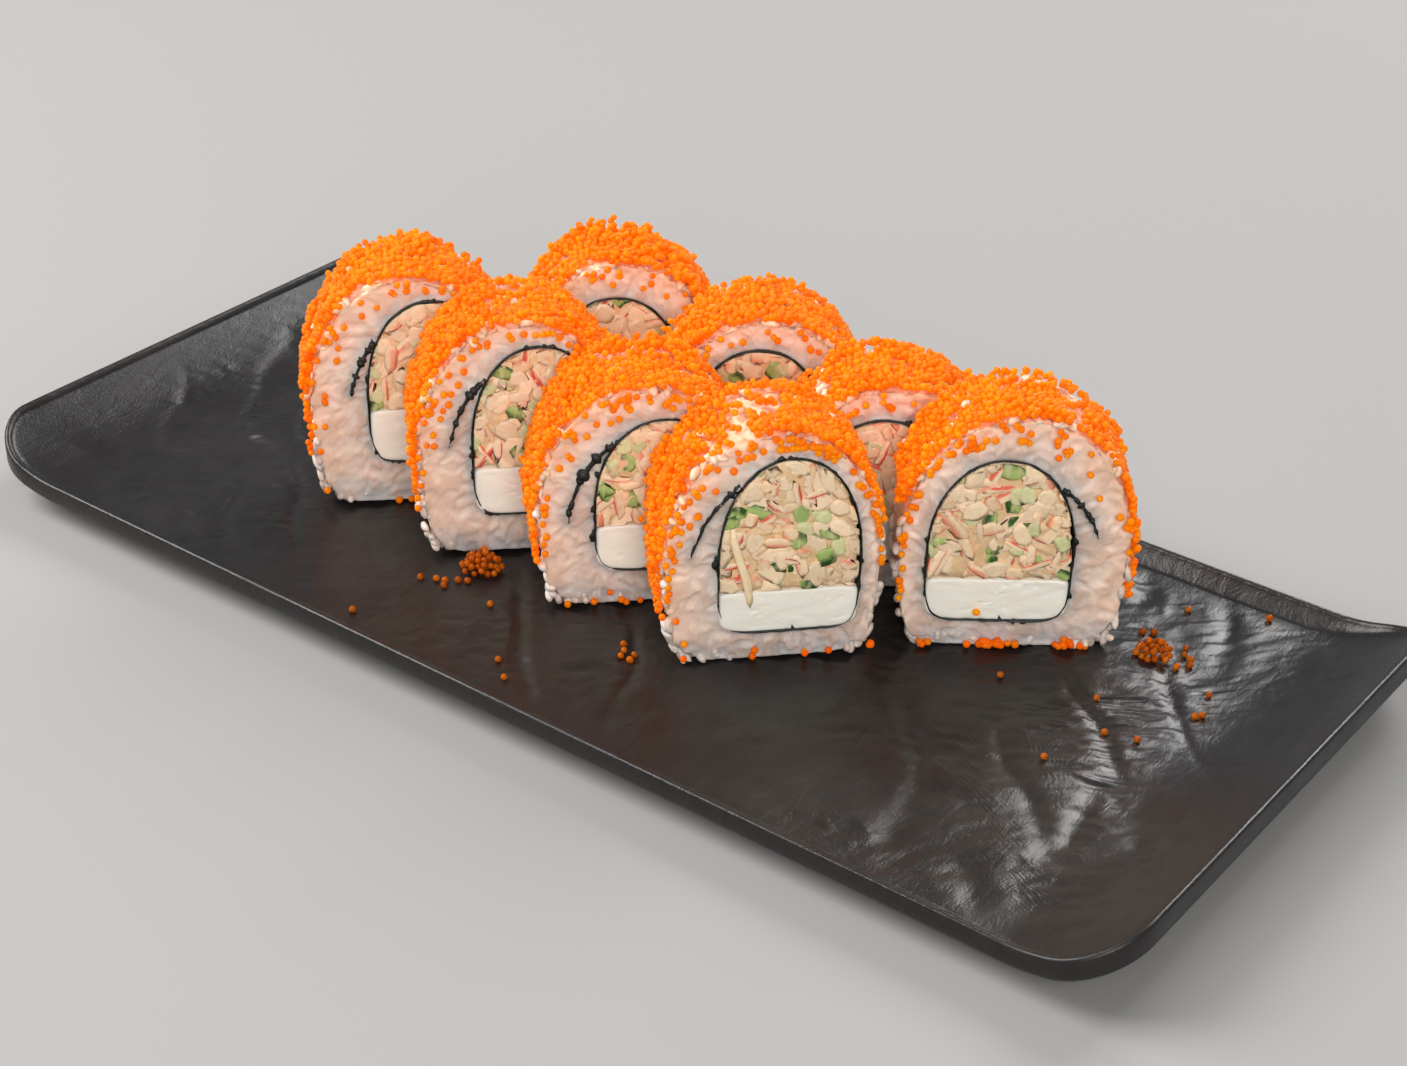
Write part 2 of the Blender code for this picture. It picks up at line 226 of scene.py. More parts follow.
def measure(name):
    """A slice's directions from its cheese's outermost plan points, and its sizes from
    how far its other pieces reach along them."""
    plan = node_points("cheese_" + name)[:, :2]
    front_left, front_right = plan[plan[:, 1].argmin()], plan[plan[:, 0].argmax()]
    back_left, back_right = plan[plan[:, 0].argmin()], plan[plan[:, 1].argmax()]
    along = (front_right - front_left) + (back_right - back_left)
    along = np.array([*along / np.linalg.norm(along), 0.0])
    out = np.array([along[1], -along[0], 0.0])
    rice, cheese, salad = (node_points(kind + name) for kind in ("rice_", "cheese_", "salad_"))
    base = rice[:, 2].min()
    side, deep = rice @ along, rice @ out
    middle = along * (side.min() + side.max()) / 2 + out * (deep.min() + deep.max()) / 2
    middle[2] = base
    filling = np.concatenate([cheese, salad])
    reach = (filling - middle) @ along
    grow = SOLID_NORI + CLEARANCE
    return Slice(
        name, middle, along, out,
        width=np.ptp(side), height=rice[:, 2].max() - base, depth=np.ptp(deep),
        left=reach.min() - grow, right=reach.max() + grow,
        bottom=cheese[:, 2].min() - base - grow, top=salad[:, 2].max() - base + grow,
        cheese_top=cheese[:, 2].max() - base,
    )


SLICES = [measure(f"{row}_{k}") for row in ("left", "right") for k in (1, 2, 3, 4)]
for piece in SLICES:
    sizes = [round(1000 * size, 1) for size in (piece.width, piece.height, piece.depth)]
    print(piece.name, "width, height and depth, mm:", sizes)

# %% [markdown]
# Two arches repeat through a slice, the outside of the rice and the sheet of nori. Both
# are superellipses, |x/a|^p + |y/b|^p = 1, written by bearing so that the points spread
# evenly. The upper half is nearly round. The lower half has a high power, which makes
# it almost square, and leans in a little towards the plate.

# %% Arches
WIDEST_LEVEL = 0.42
TOP_POWER = 2.1
RICE_SHAPE = (8.0, 0.12)
LOOP_SHAPE = (6.0, 0.04)


def superellipse(c, s, a, b, power):
    """radius = (|cos/a|^p + |sin/b|^p)^(-1/p), the curve's distance from its middle."""
    return (np.abs(c / a) ** power + np.abs(s / b) ** power) ** (-1 / power)


def arch(width, height, base, bearings, shape):
    """Two half superellipses, where a is half the width and b is the height above, or
    below, the widest level. Returns sideways and upwards."""
    low_power, taper = shape
    c, s = np.cos(bearings), np.sin(bearings)
    level = WIDEST_LEVEL * height
    power = np.where(s >= 0, TOP_POWER, low_power)
    reach = np.where(s >= 0, height - level, level)
    radius = superellipse(c, s, width / 2, reach, power)
    down = np.where(s < 0, radius * s / level, 0.0)
    return np.stack([radius * c * (1 - taper * down ** 2), base + level + radius * s], axis=-1)


def rice_arch(piece, bearings, grow=0.0):
    return arch(piece.width + 2 * grow, piece.height + grow, 0.0, bearings, RICE_SHAPE)


def rice_skin(piece, bearings):
    """Points of the rice's arch, and the unit directions that lead out of it."""
    flat = rice_arch(piece, bearings)
    return flat, unit(rice_arch(piece, bearings, MM) - flat)


def loop_arch(piece, bearings, shrink=0.0):
    """The nori's arch, or one that lies `shrink` inside it."""
    width = piece.right - piece.left - 2 * shrink
    height = piece.top - piece.bottom - 2 * shrink
    points = arch(width, height, piece.bottom + shrink, bearings, LOOP_SHAPE)
    return points + halfway(piece, 0.0)


NORI = 0.30 * MM


def turn_round(count):
    return np.linspace(0, 2 * np.pi, count, endpoint=False)


def halfway(piece, level):
    """The point midway between the nori's two sides, at this level."""
    return np.array([(piece.left + piece.right) / 2, level])


def place(piece, flat, toward):
    """From a slice's own measures, (sideways, upwards) and towards its front face, to
    the model's."""
    flat, toward = np.asarray(flat), np.asarray(toward)
    up = np.array([0.0, 0.0, 1.0])
    upright = piece.middle + flat[..., :1] * piece.along + flat[..., 1:] * up
    return upright + toward[..., None] * piece.out


quarters = 1000 * rice_arch(SLICES[0], turn_round(4))
print("arch of", SLICES[0].name, "mm:", quarters.round(1).tolist())

# %% [markdown]
# Every layer of a slice is made in the same way: a function returns one slice's points,
# faces and, where its material needs them, colours. Each slice gets its own seed. The
# rice is two pieces a slice, the ring and its loose grains, so it has its own loop.


# %% One piece for each slice
def for_slices(title, slot, finish, build, seed, smooth=True):
    """Build and settle one piece for every slice. It stands for the solid named by the
    slot and the slice."""
    for k, piece in enumerate(SLICES):
        made = new_piece(f"{title}_{piece.name}", *build(piece, seed + k), smooth=smooth)
        settle(made, finish.material, slot, f"{slot}_{piece.name}")


# %% [markdown]
# ## Writing materials as sums
#
# A Blender material is a graph of nodes. Long graphs are hard to read as code, so one
# small class wraps an output socket and overloads the operators: `noise * 0.5 + 0.2`
# adds the Math nodes by itself. Everything else comes from one method, `node`, which
# takes the node's type, its settings and what goes into its sockets.


# %% Material writer
class Link:
    """An output socket. + - and * on it add Math nodes."""

    def __init__(self, finish, socket):
        self.finish = finish
        self.socket = socket

    def maths(self, operation, first, second, clamp=False):
        settings = {"operation": operation, "use_clamp": clamp}
        return self.finish.node("ShaderNodeMath", settings, {0: first, 1: second})

    def __add__(self, other):
        return self.maths("ADD", self, other)

    def __sub__(self, other):
        return self.maths("SUBTRACT", self, other)

    def __rsub__(self, other):
        return self.maths("SUBTRACT", other, self)

    def __mul__(self, other):
        return self.maths("MULTIPLY", self, other)

    __radd__ = __add__
    __rmul__ = __mul__

    def limited(self):
        return self.maths("ADD", self, 0.0, clamp=True)


class Finish:
    """One material. Constants go straight onto the Principled shader's own sockets."""

    def __init__(self, name, **constants):
        self.material = bpy.data.materials.new(name)
        self.material.use_nodes = True
        self.tree = self.material.node_tree
        self.shader = self.tree.nodes["Principled BSDF"]
        for key, value in constants.items():
            self.shader.inputs[key.replace("_", " ")].default_value = value
        self.place = self.node("ShaderNodeTexCoord", output="Object")

    def node(self, kind, settings=None, inputs=None, output=0):
        made = self.tree.nodes.new(kind)
        settings = dict(settings or {})
        stops = settings.pop("stops", None)
        for key, value in settings.items():
            setattr(made, key, value)
        if stops:
            elements = made.color_ramp.elements
            while len(elements) < len(stops):
                elements.new(1.0)
            for element, (position, colour) in zip(elements, stops):
                element.position = position
                element.color = (*colour, 1.0)
        for key, value in (inputs or {}).items():
            if isinstance(value, Link):
                self.tree.links.new(value.socket, made.inputs[key])
            else:
                made.inputs[key].default_value = value
        return Link(self, made.outputs[output])

    def noise(self, scale, detail=2.0, roughness=0.5, distortion=0.0, vector=None):
        """Noise with `scale` waves to the metre, from 0 to 1."""
        inputs = {
            "Vector": vector or self.place, "Scale": scale, "Detail": detail,
            "Roughness": roughness, "Distortion": distortion,
        }
        return self.node("ShaderNodeTexNoise", None, inputs, "Fac")

    def stretched(self, scale, rotation=(0.0, 0.0, 0.0)):
        """Object coordinates squeezed by a different amount on each axis."""
        inputs = {"Vector": self.place, "Scale": scale, "Rotation": rotation}
        return self.node("ShaderNodeMapping", None, inputs)

    def step(self, value, low, high):
        """0 below `low`, 1 above `high`, smooth between."""
        settings = {"interpolation_type": "SMOOTHSTEP"}
        inputs = {"Value": value, "From Min": low, "From Max": high}
        return self.node("ShaderNodeMapRange", settings, inputs)

    def mix(self, share, first, second):
        first, second = (c if isinstance(c, Link) else (*c, 1.0) for c in (first, second))
        settings = {"data_type": "RGBA", "clamp_factor": True}
        return self.node("ShaderNodeMix", settings, {0: share, 6: first, 7: second}, 2)

    def look(self):
        """The three channels of the mesh's own `look` attribute, and its colour."""
        colour = self.node("ShaderNodeAttribute", {"attribute_name": "look"}, None, "Color")
        parts = [self.node("ShaderNodeSeparateColor", None, {0: colour}, k) for k in range(3)]
        return *parts, colour

    def bump(self, height, distance, strength=1.0):
        inputs = {"Height": height, "Distance": distance, "Strength": strength}
        self.set("Normal", self.node("ShaderNodeBump", None, inputs))

    def set(self, name, value):
        self.tree.links.new(value.socket, self.shader.inputs[name])


# %% [markdown]
# ## The plate
#
# The plate is pressed stoneware with a nearly black satin glaze. Its long rims are low,
# and at both ends the floor sweeps up to a raised rim. The floor has the look of split
# slate: long soft ridges, broken here and there by a sharper step.
#
# A bump map would give the highlights but leave the surface flat, so the ridges are
# real. The plate is one stack of rounded rectangles that starts in the middle of the
# floor, runs out to the wall, over the rim and back under the foot. Each ring lies a
# set distance inside the outline, and its height is a formula in x and y.

# %% Plate outline and heights
low_corner, high_corner = (np.array(corner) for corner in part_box("plate"))
PLATE_HALF = (high_corner - low_corner)[:2] / 2
END_HEIGHT = high_corner[2]
FLOOR = SLICES[0].middle[2] - CLEARANCE
LONG_HEIGHT = 8.6 * MM
CORNER = 12.0 * MM
INNER_CORNER = 5.5 * MM
RIM_TOP = 1.1 * MM
WALL = 3.4 * MM
RAMP = 27 * MM
CORNER_RISE = 21 * MM
SIDE_LOW = 4.0 * MM
UNDERSIDE = 3.0 * MM
FOOT = 14.5 * MM
HOLLOW = 0.8 * MM
FLOOR_RINGS = 90
EDGE_CALM = 7 * MM
print("plate half sizes, mm:", (1000 * PLATE_HALF).round(1), "floor at", round(1000 * FLOOR, 2))


def rising(x, length):
    """A parabola from 0 to 1 over the last `length` before either end."""
    return np.clip((np.abs(x) - (PLATE_HALF[0] - length)) / length, 0, 1) ** 2


def rim_at(x):
    return LONG_HEIGHT + (END_HEIGHT - LONG_HEIGHT) * rising(x, CORNER_RISE)


def end_calm(x):
    """1 on the flat floor, falling to a quarter where it sweeps up to the ends."""
    return 1 - 0.75 * rising(x, RAMP)


def floor_at(x):
    return FLOOR + (END_HEIGHT - 0.4 * MM - FLOOR) * rising(x, RAMP)


def plan_ring(inset, long_steps=300, short_steps=110, arc_steps=14):
    """A rounded rectangle `inset` inside the plate's outline: four arcs of shrinking
    radius, joined by evenly stepped straight sides. The innermost one is a line."""
    half_x, half_y = PLATE_HALF - inset
    radius = min(max(CORNER - inset, INNER_CORNER), half_y)
    a, b = half_x - radius, half_y - radius
    corners = np.array([(a, b), (-a, b), (-a, -b), (a, -b)])
    arcs = np.linspace(0, np.pi / 2, arc_steps)
    points = []
    for quarter in range(4):
        angle = arcs + quarter * np.pi / 2
        corner, following = corners[quarter], corners[(quarter + 1) % 4]
        arc = corner + radius * np.stack([np.cos(angle), np.sin(angle)], axis=-1)
        steps = long_steps if quarter % 2 == 0 else short_steps
        step = np.linspace(0, 1, steps + 2)[1:-1, None]
        toward = radius * np.array([np.cos(angle[-1]), np.sin(angle[-1])])
        side = (corner + toward) * (1 - step) + (following + toward) * step
        points += [arc, side]
    return np.concatenate(points)


def slate(x, y):
    """Height of the slate relief: ripples, which are noise stretched along one way and
    folded to sharp crests as 1 - 2|noise|, and a few grooves across them. Wide noise
    leaves calm parts between."""
    bend = 7 * MM * waves(x, y, 30 * MM, 21, 2)
    along, across = 0.8 * x + 0.6 * y + bend, 0.8 * y - 0.6 * x + bend
    ripples = 1 - 2 * np.abs(waves(0.36 * along, across, 3.1 * MM, 22, 3))
    swell = waves(0.5 * along, across, 9 * MM, 24, 2)
    grooves = np.exp(-(waves(along, 0.3 * across, 17 * MM, 26, 2) / 0.13) ** 2)
    lively = 0.25 + 0.75 * np.clip(0.6 + 1.6 * waves(x, y, 42 * MM, 28), 0, 1)
    return MM * (0.30 * lively * ripples + 0.34 * swell - 0.55 * grooves * lively)


# %% Build the plate
def plate_rings():
    """Rings from the floor's middle outwards, over the rim and under to the foot."""
    start = RIM_TOP + WALL
    rings = []
    for inset in np.linspace(PLATE_HALF[1], start, FLOOR_RINGS):
        plan = plan_ring(inset)
        x, y = plan.T
        edge = np.clip((inset - start) / EDGE_CALM, 0, 1) * end_calm(x)
        rings.append(np.column_stack([plan, floor_at(x) + edge * slate(x, y)]))
    drop = LONG_HEIGHT - FLOOR
    for share in (0.82, 0.6, 0.38, 0.2, 0.08):
        plan = plan_ring(RIM_TOP + WALL * share)
        x = plan[:, 0]
        wall = np.maximum(rim_at(x) - drop * share ** 0.8, floor_at(x))
        rings.append(np.column_stack([plan, wall]))
    rim = rim_at(plan_ring(0.0)[:, 0])
    lift = 0.8 * (rim - LONG_HEIGHT)
    edge = (
        (RIM_TOP, rim - 0.05 * MM), (0.55 * MM, rim), (0.2 * MM, rim - 0.15 * MM),
        (0.0, rim - 0.6 * MM), (0.0, SIDE_LOW + 1.2 * MM + lift),
        (0.5 * MM, SIDE_LOW + 0.4 * MM + lift), (1.2 * MM, SIDE_LOW + lift),
        (FOOT - 1.2 * MM, UNDERSIDE), (FOOT, 0.0), (FOOT + 3 * MM, 0.0),
        (FOOT + 3.6 * MM, HOLLOW), (PLATE_HALF[1] - 1 * MM, HOLLOW),
    )
    for inset, height in edge:
        plan = plan_ring(inset)
        rings.append(np.column_stack([plan, np.full(len(plan), height)]))
    return np.array(rings)


glaze = Finish("black_glaze", IOR=1.42)
streak = glaze.noise(190, 5, 0.62, 0.5, glaze.stretched((1.5, 0.6, 1.0), (0, 0, 0.93)))
speckle = glaze.noise(2600, 2)
worn = glaze.step(glaze.noise(45, 3), 0.42, 0.70)
glaze.set("Base Color", glaze.mix(streak, (0.0060, 0.0053, 0.0050), (0.0165, 0.0150, 0.0142)))
glaze.set("Roughness", (0.25 + 0.12 * worn + 0.10 * streak).limited())
glaze.bump(0.85 * streak + 0.15 * speckle, 0.40 * MM, 0.6)

points, faces = stack(plate_rings(), capped=(False, True))
plate = new_piece("plate_stoneware", points, faces)
bm = bmesh.new()
bm.from_mesh(plate.data)
SAME_POINT = 0.002 * MM
bmesh.ops.remove_doubles(bm, verts=bm.verts, dist=SAME_POINT)
bm.to_mesh(plate.data)
bm.free()
settle(plate, glaze.material, "plate", "plate")

# %% [markdown]
# ## Rice
#
# Sushi rice is short, sticky grain. Pressed in a roll, the grains fuse into a paste in
# which each one still shows as a soft oval bump, about 5 mm by 2 mm. Thousands of loose
# grains would look like gravel, so the grains are fused by arithmetic. The ring is one
# stack of rings that runs over the front face, the outside, the back face and through
# the hole. Grains are scattered over it, and each lifts the points near it in the shape
# of half an ellipsoid. Where several overlap, a soft maximum joins them:
# log(sum of exp(k h)) / k.

# %% Small shapes
def scrap_rings(power, long, high):
    """sign(t)|t|^(2/p) of the sphere's cosines and sines: a ball for p = 2, a brick
    with rounded edges for more."""
    u = turn_round(long)[None, :]
    v = np.linspace(-0.47, 0.47, high)[:, None] * np.pi

    def bend(t):
        return np.sign(t) * np.abs(t) ** (2 / power)

    across, up = bend(np.cos(v)), bend(np.sin(v))
    return np.stack([across * bend(np.cos(u)), across * bend(np.sin(u)), up + 0 * u], axis=-1)


def turned(points, rng, tilt):
    """Turn points by any angle about z, and by about `tilt` radians about x and y."""
    a, b, c = rng.uniform(-np.pi, np.pi), *rng.normal(0, tilt, 2)
    spin = Matrix.Rotation(a, 3, "Z") @ Matrix.Rotation(b, 3, "X") @ Matrix.Rotation(c, 3, "Y")
    return points @ np.array(spin).T


# %% Rice grain field
AROUND = 330
FACE_STEPS = 19
SIDE_STEPS = 40
GRAIN_HALF = np.array([2.15, 0.92]) * MM
SOFT = 0.03 * MM
GRAIN_THICK = 1.5 * MM
GRAIN_NEAR = 3.2 * MM
GRAINS = 1150


def rice_section(piece):
    """The ring's section at each bearing, front face to back: positions on the way out
    across the face, over a rounded edge, along the outside and in again."""
    bearings = turn_round(AROUND)
    inner = loop_arch(piece, bearings, -0.12 * MM)
    outer = rice_arch(piece, bearings, -0.2 * MM)
    half = piece.depth / 2 - 0.25 * MM
    share = np.linspace(0, 1, FACE_STEPS) * 0.96
    side = np.linspace(1, -1, SIDE_STEPS) * (half - 0.9 * MM)
    rounding = ((0.985, half - 0.12 * MM), (0.998, half - 0.5 * MM))
    stations = [(s, half) for s in share] + list(rounding) + [(1.0, t) for t in side]
    stations += [(s, -t) for s, t in rounding[::-1]] + [(s, -half) for s in share[::-1]]
    flat = np.array([inner + (outer - inner) * s for s, _ in stations])
    toward = np.array([np.full(AROUND, t) for _, t in stations])
    return flat, toward


def surface_normals(rings):
    """Along the stack times across it, made one long, at every point of a closed stack."""
    across = np.roll(rings, -1, axis=0) - np.roll(rings, 1, axis=0)
    along = np.roll(rings, -1, axis=1) - np.roll(rings, 1, axis=1)
    normal = np.cross(along, across)
    return normal / np.maximum(np.linalg.norm(normal, axis=-1, keepdims=True), 1e-12)


def grain_field(points, normals, areas, count, rng):
    """Lift, and shade of the topmost grain, at every point. A grain sits at a random
    point, chosen by area, and lies in a random direction along the surface."""
    chosen = rng.choice(len(points), count, p=areas / areas.sum())
    total = np.zeros(len(points))
    best = np.full(len(points), -1.0)
    shade = np.zeros(len(points))
    for k in chosen:
        normal = normals[k]
        first = np.cross(normal, rng.normal(size=3))
        first /= np.linalg.norm(first)
        second = np.cross(normal, first)
        size = GRAIN_HALF * rng.uniform(0.8, 1.2, 2)
        rise = MM * rng.uniform(0.4, 1.0)
        offset = points - points[k]
        near = np.flatnonzero(np.abs(offset).max(axis=1) < GRAIN_NEAR)
        q = offset[near]
        far = (q @ first / size[0]) ** 2 + (q @ second / size[1]) ** 2
        far = far + (q @ normal / GRAIN_THICK) ** 2
        height = rise * np.sqrt(np.clip(1 - far, 0, 1)) - 0.1 * MM * rng.uniform()
        total[near] += np.exp(height / SOFT)
        top = near[height > best[near]]
        best[top] = height[height > best[near]]
        shade[top] = rng.uniform()
    return SOFT * np.log1p(total), shade


# %% [markdown]
# The free end of each nori sheet runs out into the rice as a dark line beside the loop.
# It leaves the loop along its tangent and drifts away from it. The rice sinks a little
# where the sheet lies, so that the line shows.

# %% Nori tails
TAILS = {
    "left_1": (120, 15.0, 0.42), "left_2": (124, 17.0, 0.38), "left_3": (124, 15.0, 0.36),
    "left_4": (132, 12.0, 0.30), "right_1": (54, 11.0, 0.50), "right_2": (136, 8.0, 0.26),
    "right_3": (42, 8.5, 0.26), "right_4": (138, 8.0, 0.26),
}


def tail_path(piece, count=40):
    """Points of the tail's middle line: from the loop at a bearing, following the loop
    down while a growing offset, slope times length less a little, carries it outwards."""
    bearing, length, slope = TAILS[piece.name]
    length *= MM
    side = 1 if bearing > 90 else -1
    bearings = np.radians(bearing) + side * np.linspace(0, 1.5, 200)
    loop = loop_arch(piece, bearings)
    run = run_along(loop)
    reach = np.linspace(0, length, count)
    line = np.stack([np.interp(reach, run, loop[:, k]) for k in range(2)], axis=-1)
    spread = slope * reach * (1 - 0.25 * reach / length) + 0.3 * MM
    seed = 40 + len(piece.name) + int(bearing)
    wander = 0.35 * MM * waves(reach, 0 * reach, 2.1 * MM, seed, 2)
    return line + side * beside(line) * (spread + wander * reach / length)[:, None]


def distance_to(flat, line):
    """From each point of a grid to the nearest of a line's points."""
    gap = flat.reshape(-1, 1, 2) - line[None]
    return np.sqrt((gap ** 2).sum(axis=-1).min(axis=1)).reshape(flat.shape[:2])


# %% Build the rice
FACE_RELIEF = 0.78
SIDE_RELIEF = 1.35
TAIL_GROOVE = 0.60 * MM
LOOP_GROOVE = 0.35 * MM
GROOVE_WIDTH = 0.5 * MM


def build_rice(piece, seed):
    """The ring of rice as a closed stack, its `look` holding relief, grain shade and
    tone: 1 next to the nori and at the foot, for damp rice with painted shade, 0 towards
    the outside, for the orange of roe with painted light bounced off it, else a half."""
    rng = np.random.default_rng(seed)
    flat, toward = rice_section(piece)
    rings = place(piece, flat, toward)
    normals = surface_normals(rings)
    onward, round_it = (np.roll(rings, -1, axis=k) - rings for k in (0, 1))
    areas = np.linalg.norm(np.cross(onward, round_it), axis=-1)
    areas[-1] = 0
    field = grain_field(rings.reshape(-1, 3), normals.reshape(-1, 3), areas.ravel(), GRAINS, rng)
    lift, shade = (values.reshape(toward.shape) for values in field)
    on_face = np.zeros(len(rings), dtype=bool)
    on_face[:FACE_STEPS] = on_face[-FACE_STEPS:] = True
    relief = np.where(on_face[:, None], FACE_RELIEF, SIDE_RELIEF) * lift
    relief += 0.12 * MM * waves(flat[..., 0] + toward, flat[..., 1] - toward, 0.9 * MM, seed, 2)
    near_tail = distance_to(flat, tail_path(piece))
    near_loop = distance_to(flat, loop_arch(piece, turn_round(160)))
    groove = TAIL_GROOVE * np.exp(-(near_tail / GROOVE_WIDTH) ** 2)
    groove += LOOP_GROOVE * np.exp(-(near_loop / GROOVE_WIDTH) ** 2)
    groove = np.where(on_face[:, None], groove, 0.0)
    ease = np.ones(len(rings))
    ease[[0, -1]] = 0.3
    sunk = np.clip(flat[..., 1] / (1.2 * MM), 0.15, 1.0)
    rings = rings + normals * ((relief - groove) * ease[:, None] * sunk)[..., None]
    outside = distance_to(flat, rice_arch(piece, turn_round(160)))
    height = flat[..., 1] / piece.height
    # Orange towards the outside and the top: roe colour on the rice together with painted light
    # bounced off the roe.
    roe_tint_and_bounce = np.exp(-outside / (2.6 * MM)) * np.clip(0.30 + 0.9 * height, 0, 1)
    # Painted shade with damp rice: greyer near the nori and its free end, and towards the foot.
    wet_and_shade = np.exp(-np.minimum(near_loop / (2.2 * MM), near_tail / (1.8 * MM)))
    wet_and_shade = np.maximum(wet_and_shade, 0.95 * np.clip(1.25 - flat[..., 1] / (6.0 * MM), 0, 1))
    tone = np.clip(0.5 + 0.5 * wet_and_shade * (1 - 0.5 * roe_tint_and_bounce) - 0.5 * roe_tint_and_bounce * (1 - wet_and_shade), 0, 1)
    colours = np.stack([np.clip(lift / (0.9 * MM), 0, 1), shade, tone], axis=-1).reshape(-1, 3)
    return *stack(rings, closed=True), colours


def grain_shape():
    """A long ball, x squared added to its height so that it bends a little, and its
    ends drawn in."""
    rings = scrap_rings(2.2, 8, 6)
    rings = rings * np.array([GRAIN_HALF[0], GRAIN_HALF[1], 0.9 * GRAIN_HALF[1]])
    rings[..., 2] -= 0.06 / MM * rings[..., 0] ** 2
    return stack(rings)


RIM_GRAINS, CORNER_GRAINS, SIDE_GRAINS = 56, 14, 26


def loose_grains(piece, seed):
    """Grains that stand out of the ring: round the edges of both faces, at the foot's
    corners and here and there on the outside, each partly sunk in."""
    rng = np.random.default_rng(seed)
    shape, faces = grain_shape()
    bearing = np.radians(np.concatenate([
        rng.uniform(-75, 255, RIM_GRAINS), rng.normal(-45, 7, CORNER_GRAINS),
        rng.normal(225, 7, CORNER_GRAINS), rng.uniform(20, 160, SIDE_GRAINS),
    ]))
    count = len(bearing)
    side = rng.choice([1, 1, -1], count)
    toward = side * (piece.depth / 2 - rng.uniform(0.9, 2.6, count) * MM)
    toward[-SIDE_GRAINS:] = rng.uniform(-0.38, 0.38, SIDE_GRAINS) * piece.depth
    proud = rng.uniform(-0.75, 0.15, count) * MM
    proud[RIM_GRAINS:-SIDE_GRAINS] += 0.65 * MM
    flat, way = rice_skin(piece, bearing)
    centres = place(piece, flat + way * proud[:, None], toward)
    centres[:, 2] = np.maximum(centres[:, 2], piece.middle[2] + 0.9 * MM)
    normal = place(piece, way, np.zeros(count)) - piece.middle
    heading = rng.uniform(-np.pi, np.pi, count)[:, None]
    first = np.cos(heading) * piece.out + np.sin(heading) * np.cross(normal, piece.out)
    first = unit(first + rng.normal(0, 0.22, (count, 1)) * normal)
    second = np.cross(normal, first)
    turns = np.stack([first, second, np.cross(first, second)], axis=1)
    sizes = rng.uniform(0.8, 1.15, (count, 1, 3))
    places = centres[:, None, :] + (shape[None] * sizes) @ turns
    places[..., 2] = np.maximum(places[..., 2], piece.middle[2])
    points, faces = many(shape, faces, places)
    # Painted light: grains high on the arch take the orange of roe and its bounced light, the
    # others a greyer tone of painted shade.
    tone = np.where(np.sin(bearing) > 0.2, 0.14, 0.72)
    look = np.stack([np.full(count, 0.55), rng.uniform(size=count), tone], axis=-1)
    return points, faces, np.repeat(look, len(shape), axis=0)


rice = Finish(
    "cooked_rice", Subsurface_Weight=0.45, Subsurface_Scale=0.0016, Roughness=0.38,
    Subsurface_Radius=(1.0, 0.62, 0.42), IOR=1.4, Specular_IOR_Level=0.5,
)
relief, shade, tone, _ = rice.look()
fine = rice.noise(1500, 3, 0.6)
broad = rice.noise(120, 2)
warm = rice.mix(shade, (0.82, 0.60, 0.48), (0.92, 0.72, 0.59))
# The orange of roe on the rice, mixed with painted light bounced off the roe.
roe_tinted_and_bounce_lit = rice.mix(shade, (0.87, 0.46, 0.23), (0.94, 0.58, 0.36))
# Grey rice near the nori and at the foot: damp rice darkened by painted shade.
cool_wet_and_shaded = rice.mix(shade, (0.33, 0.325, 0.33), (0.50, 0.475, 0.465))
body = rice.mix(((tone - 0.5) * 2.2).limited(), warm, cool_wet_and_shaded)
body = rice.mix(((0.5 - tone) * 1.7).limited(), body, roe_tinted_and_bounce_lit)
# Painted shade: brown darkening where the grain relief is low, in the crevices between grains.
body = rice.mix(0.30 - 0.30 * rice.step(relief, 0.1, 0.6), body, (0.60, 0.34, 0.20))
body = rice.mix(0.25 * rice.step(broad, 0.5, 0.7), body, (0.93, 0.80, 0.70))
rice.set("Base Color", rice.mix(0.18 * rice.step(fine, 0.52, 0.72), body, (0.95, 0.86, 0.78)))
rice.set("Roughness", (0.24 + 0.34 * fine).limited())
rice.bump(fine, 0.16 * MM, 0.55)

for k, piece in enumerate(SLICES):
    ring = new_piece(f"rice_ring_{piece.name}", *build_rice(piece, 100 + k))
    settle(ring, rice.material, "rice", f"rice_{piece.name}")
    grains = new_piece(f"rice_grains_{piece.name}", *loose_grains(piece, 150 + k))
    settle(grains, rice.material, "rice")

# %% [markdown]
# ## Nori
#
# Nori is a crisp sheet of seaweed, about 0.3 mm thick once it is damp. The knife tears
# it a little, so its edge shows as a thin black line with teeth. Each loop is a closed
# stack: an outer and an inner outline whose distance apart wavers, at the front face and
# at the back. A straight ribbon along the tail's path makes the free end.


# %% Build the nori
LOOP_STEPS = 620
TAIL_STEPS = 90
TAIL_RUN = 30 * MM


def build_loop(piece, seed):
    """Four rings, inner and outer at the front, outer and inner at the back. Noise
    along the loop moves both edges and, more sharply, the outer one."""
    bearings = turn_round(LOOP_STEPS)
    outer, inner = loop_arch(piece, bearings, 0.0), loop_arch(piece, bearings, NORI)
    way = unit(outer - inner)
    run = np.cumsum(np.linalg.norm(np.diff(outer, axis=0, append=outer[:1]), axis=1))

    def along(cell, shift, octaves=1):
        return waves(run, run * 0, cell * MM, seed + shift, octaves)

    rings = []
    for side, edge in ((1, "in"), (1, "out"), (-1, "out"), (-1, "in")):
        sway = 0.22 * MM * along(2.6, side, 3)
        torn = np.clip(0.5 + 2 * along(6, 2 * side), 0, 1)
        teeth = 1.9 * MM * torn * np.clip(along(1.7, 5 * side, 3) - 0.12, 0, 0.6)
        thin = 0.14 * MM * (1 + along(7, 3 * side))
        from_edge, moved = (outer, teeth) if edge == "out" else (inner, thin)
        flat = from_edge + way * (sway + moved)[:, None]
        proud = (0.26 + 0.20 * along(3.4, 9 * side, 2)) * MM
        rings.append(place(piece, flat, side * (piece.depth / 2 + proud)))
    return stack(np.array(rings), closed=True)


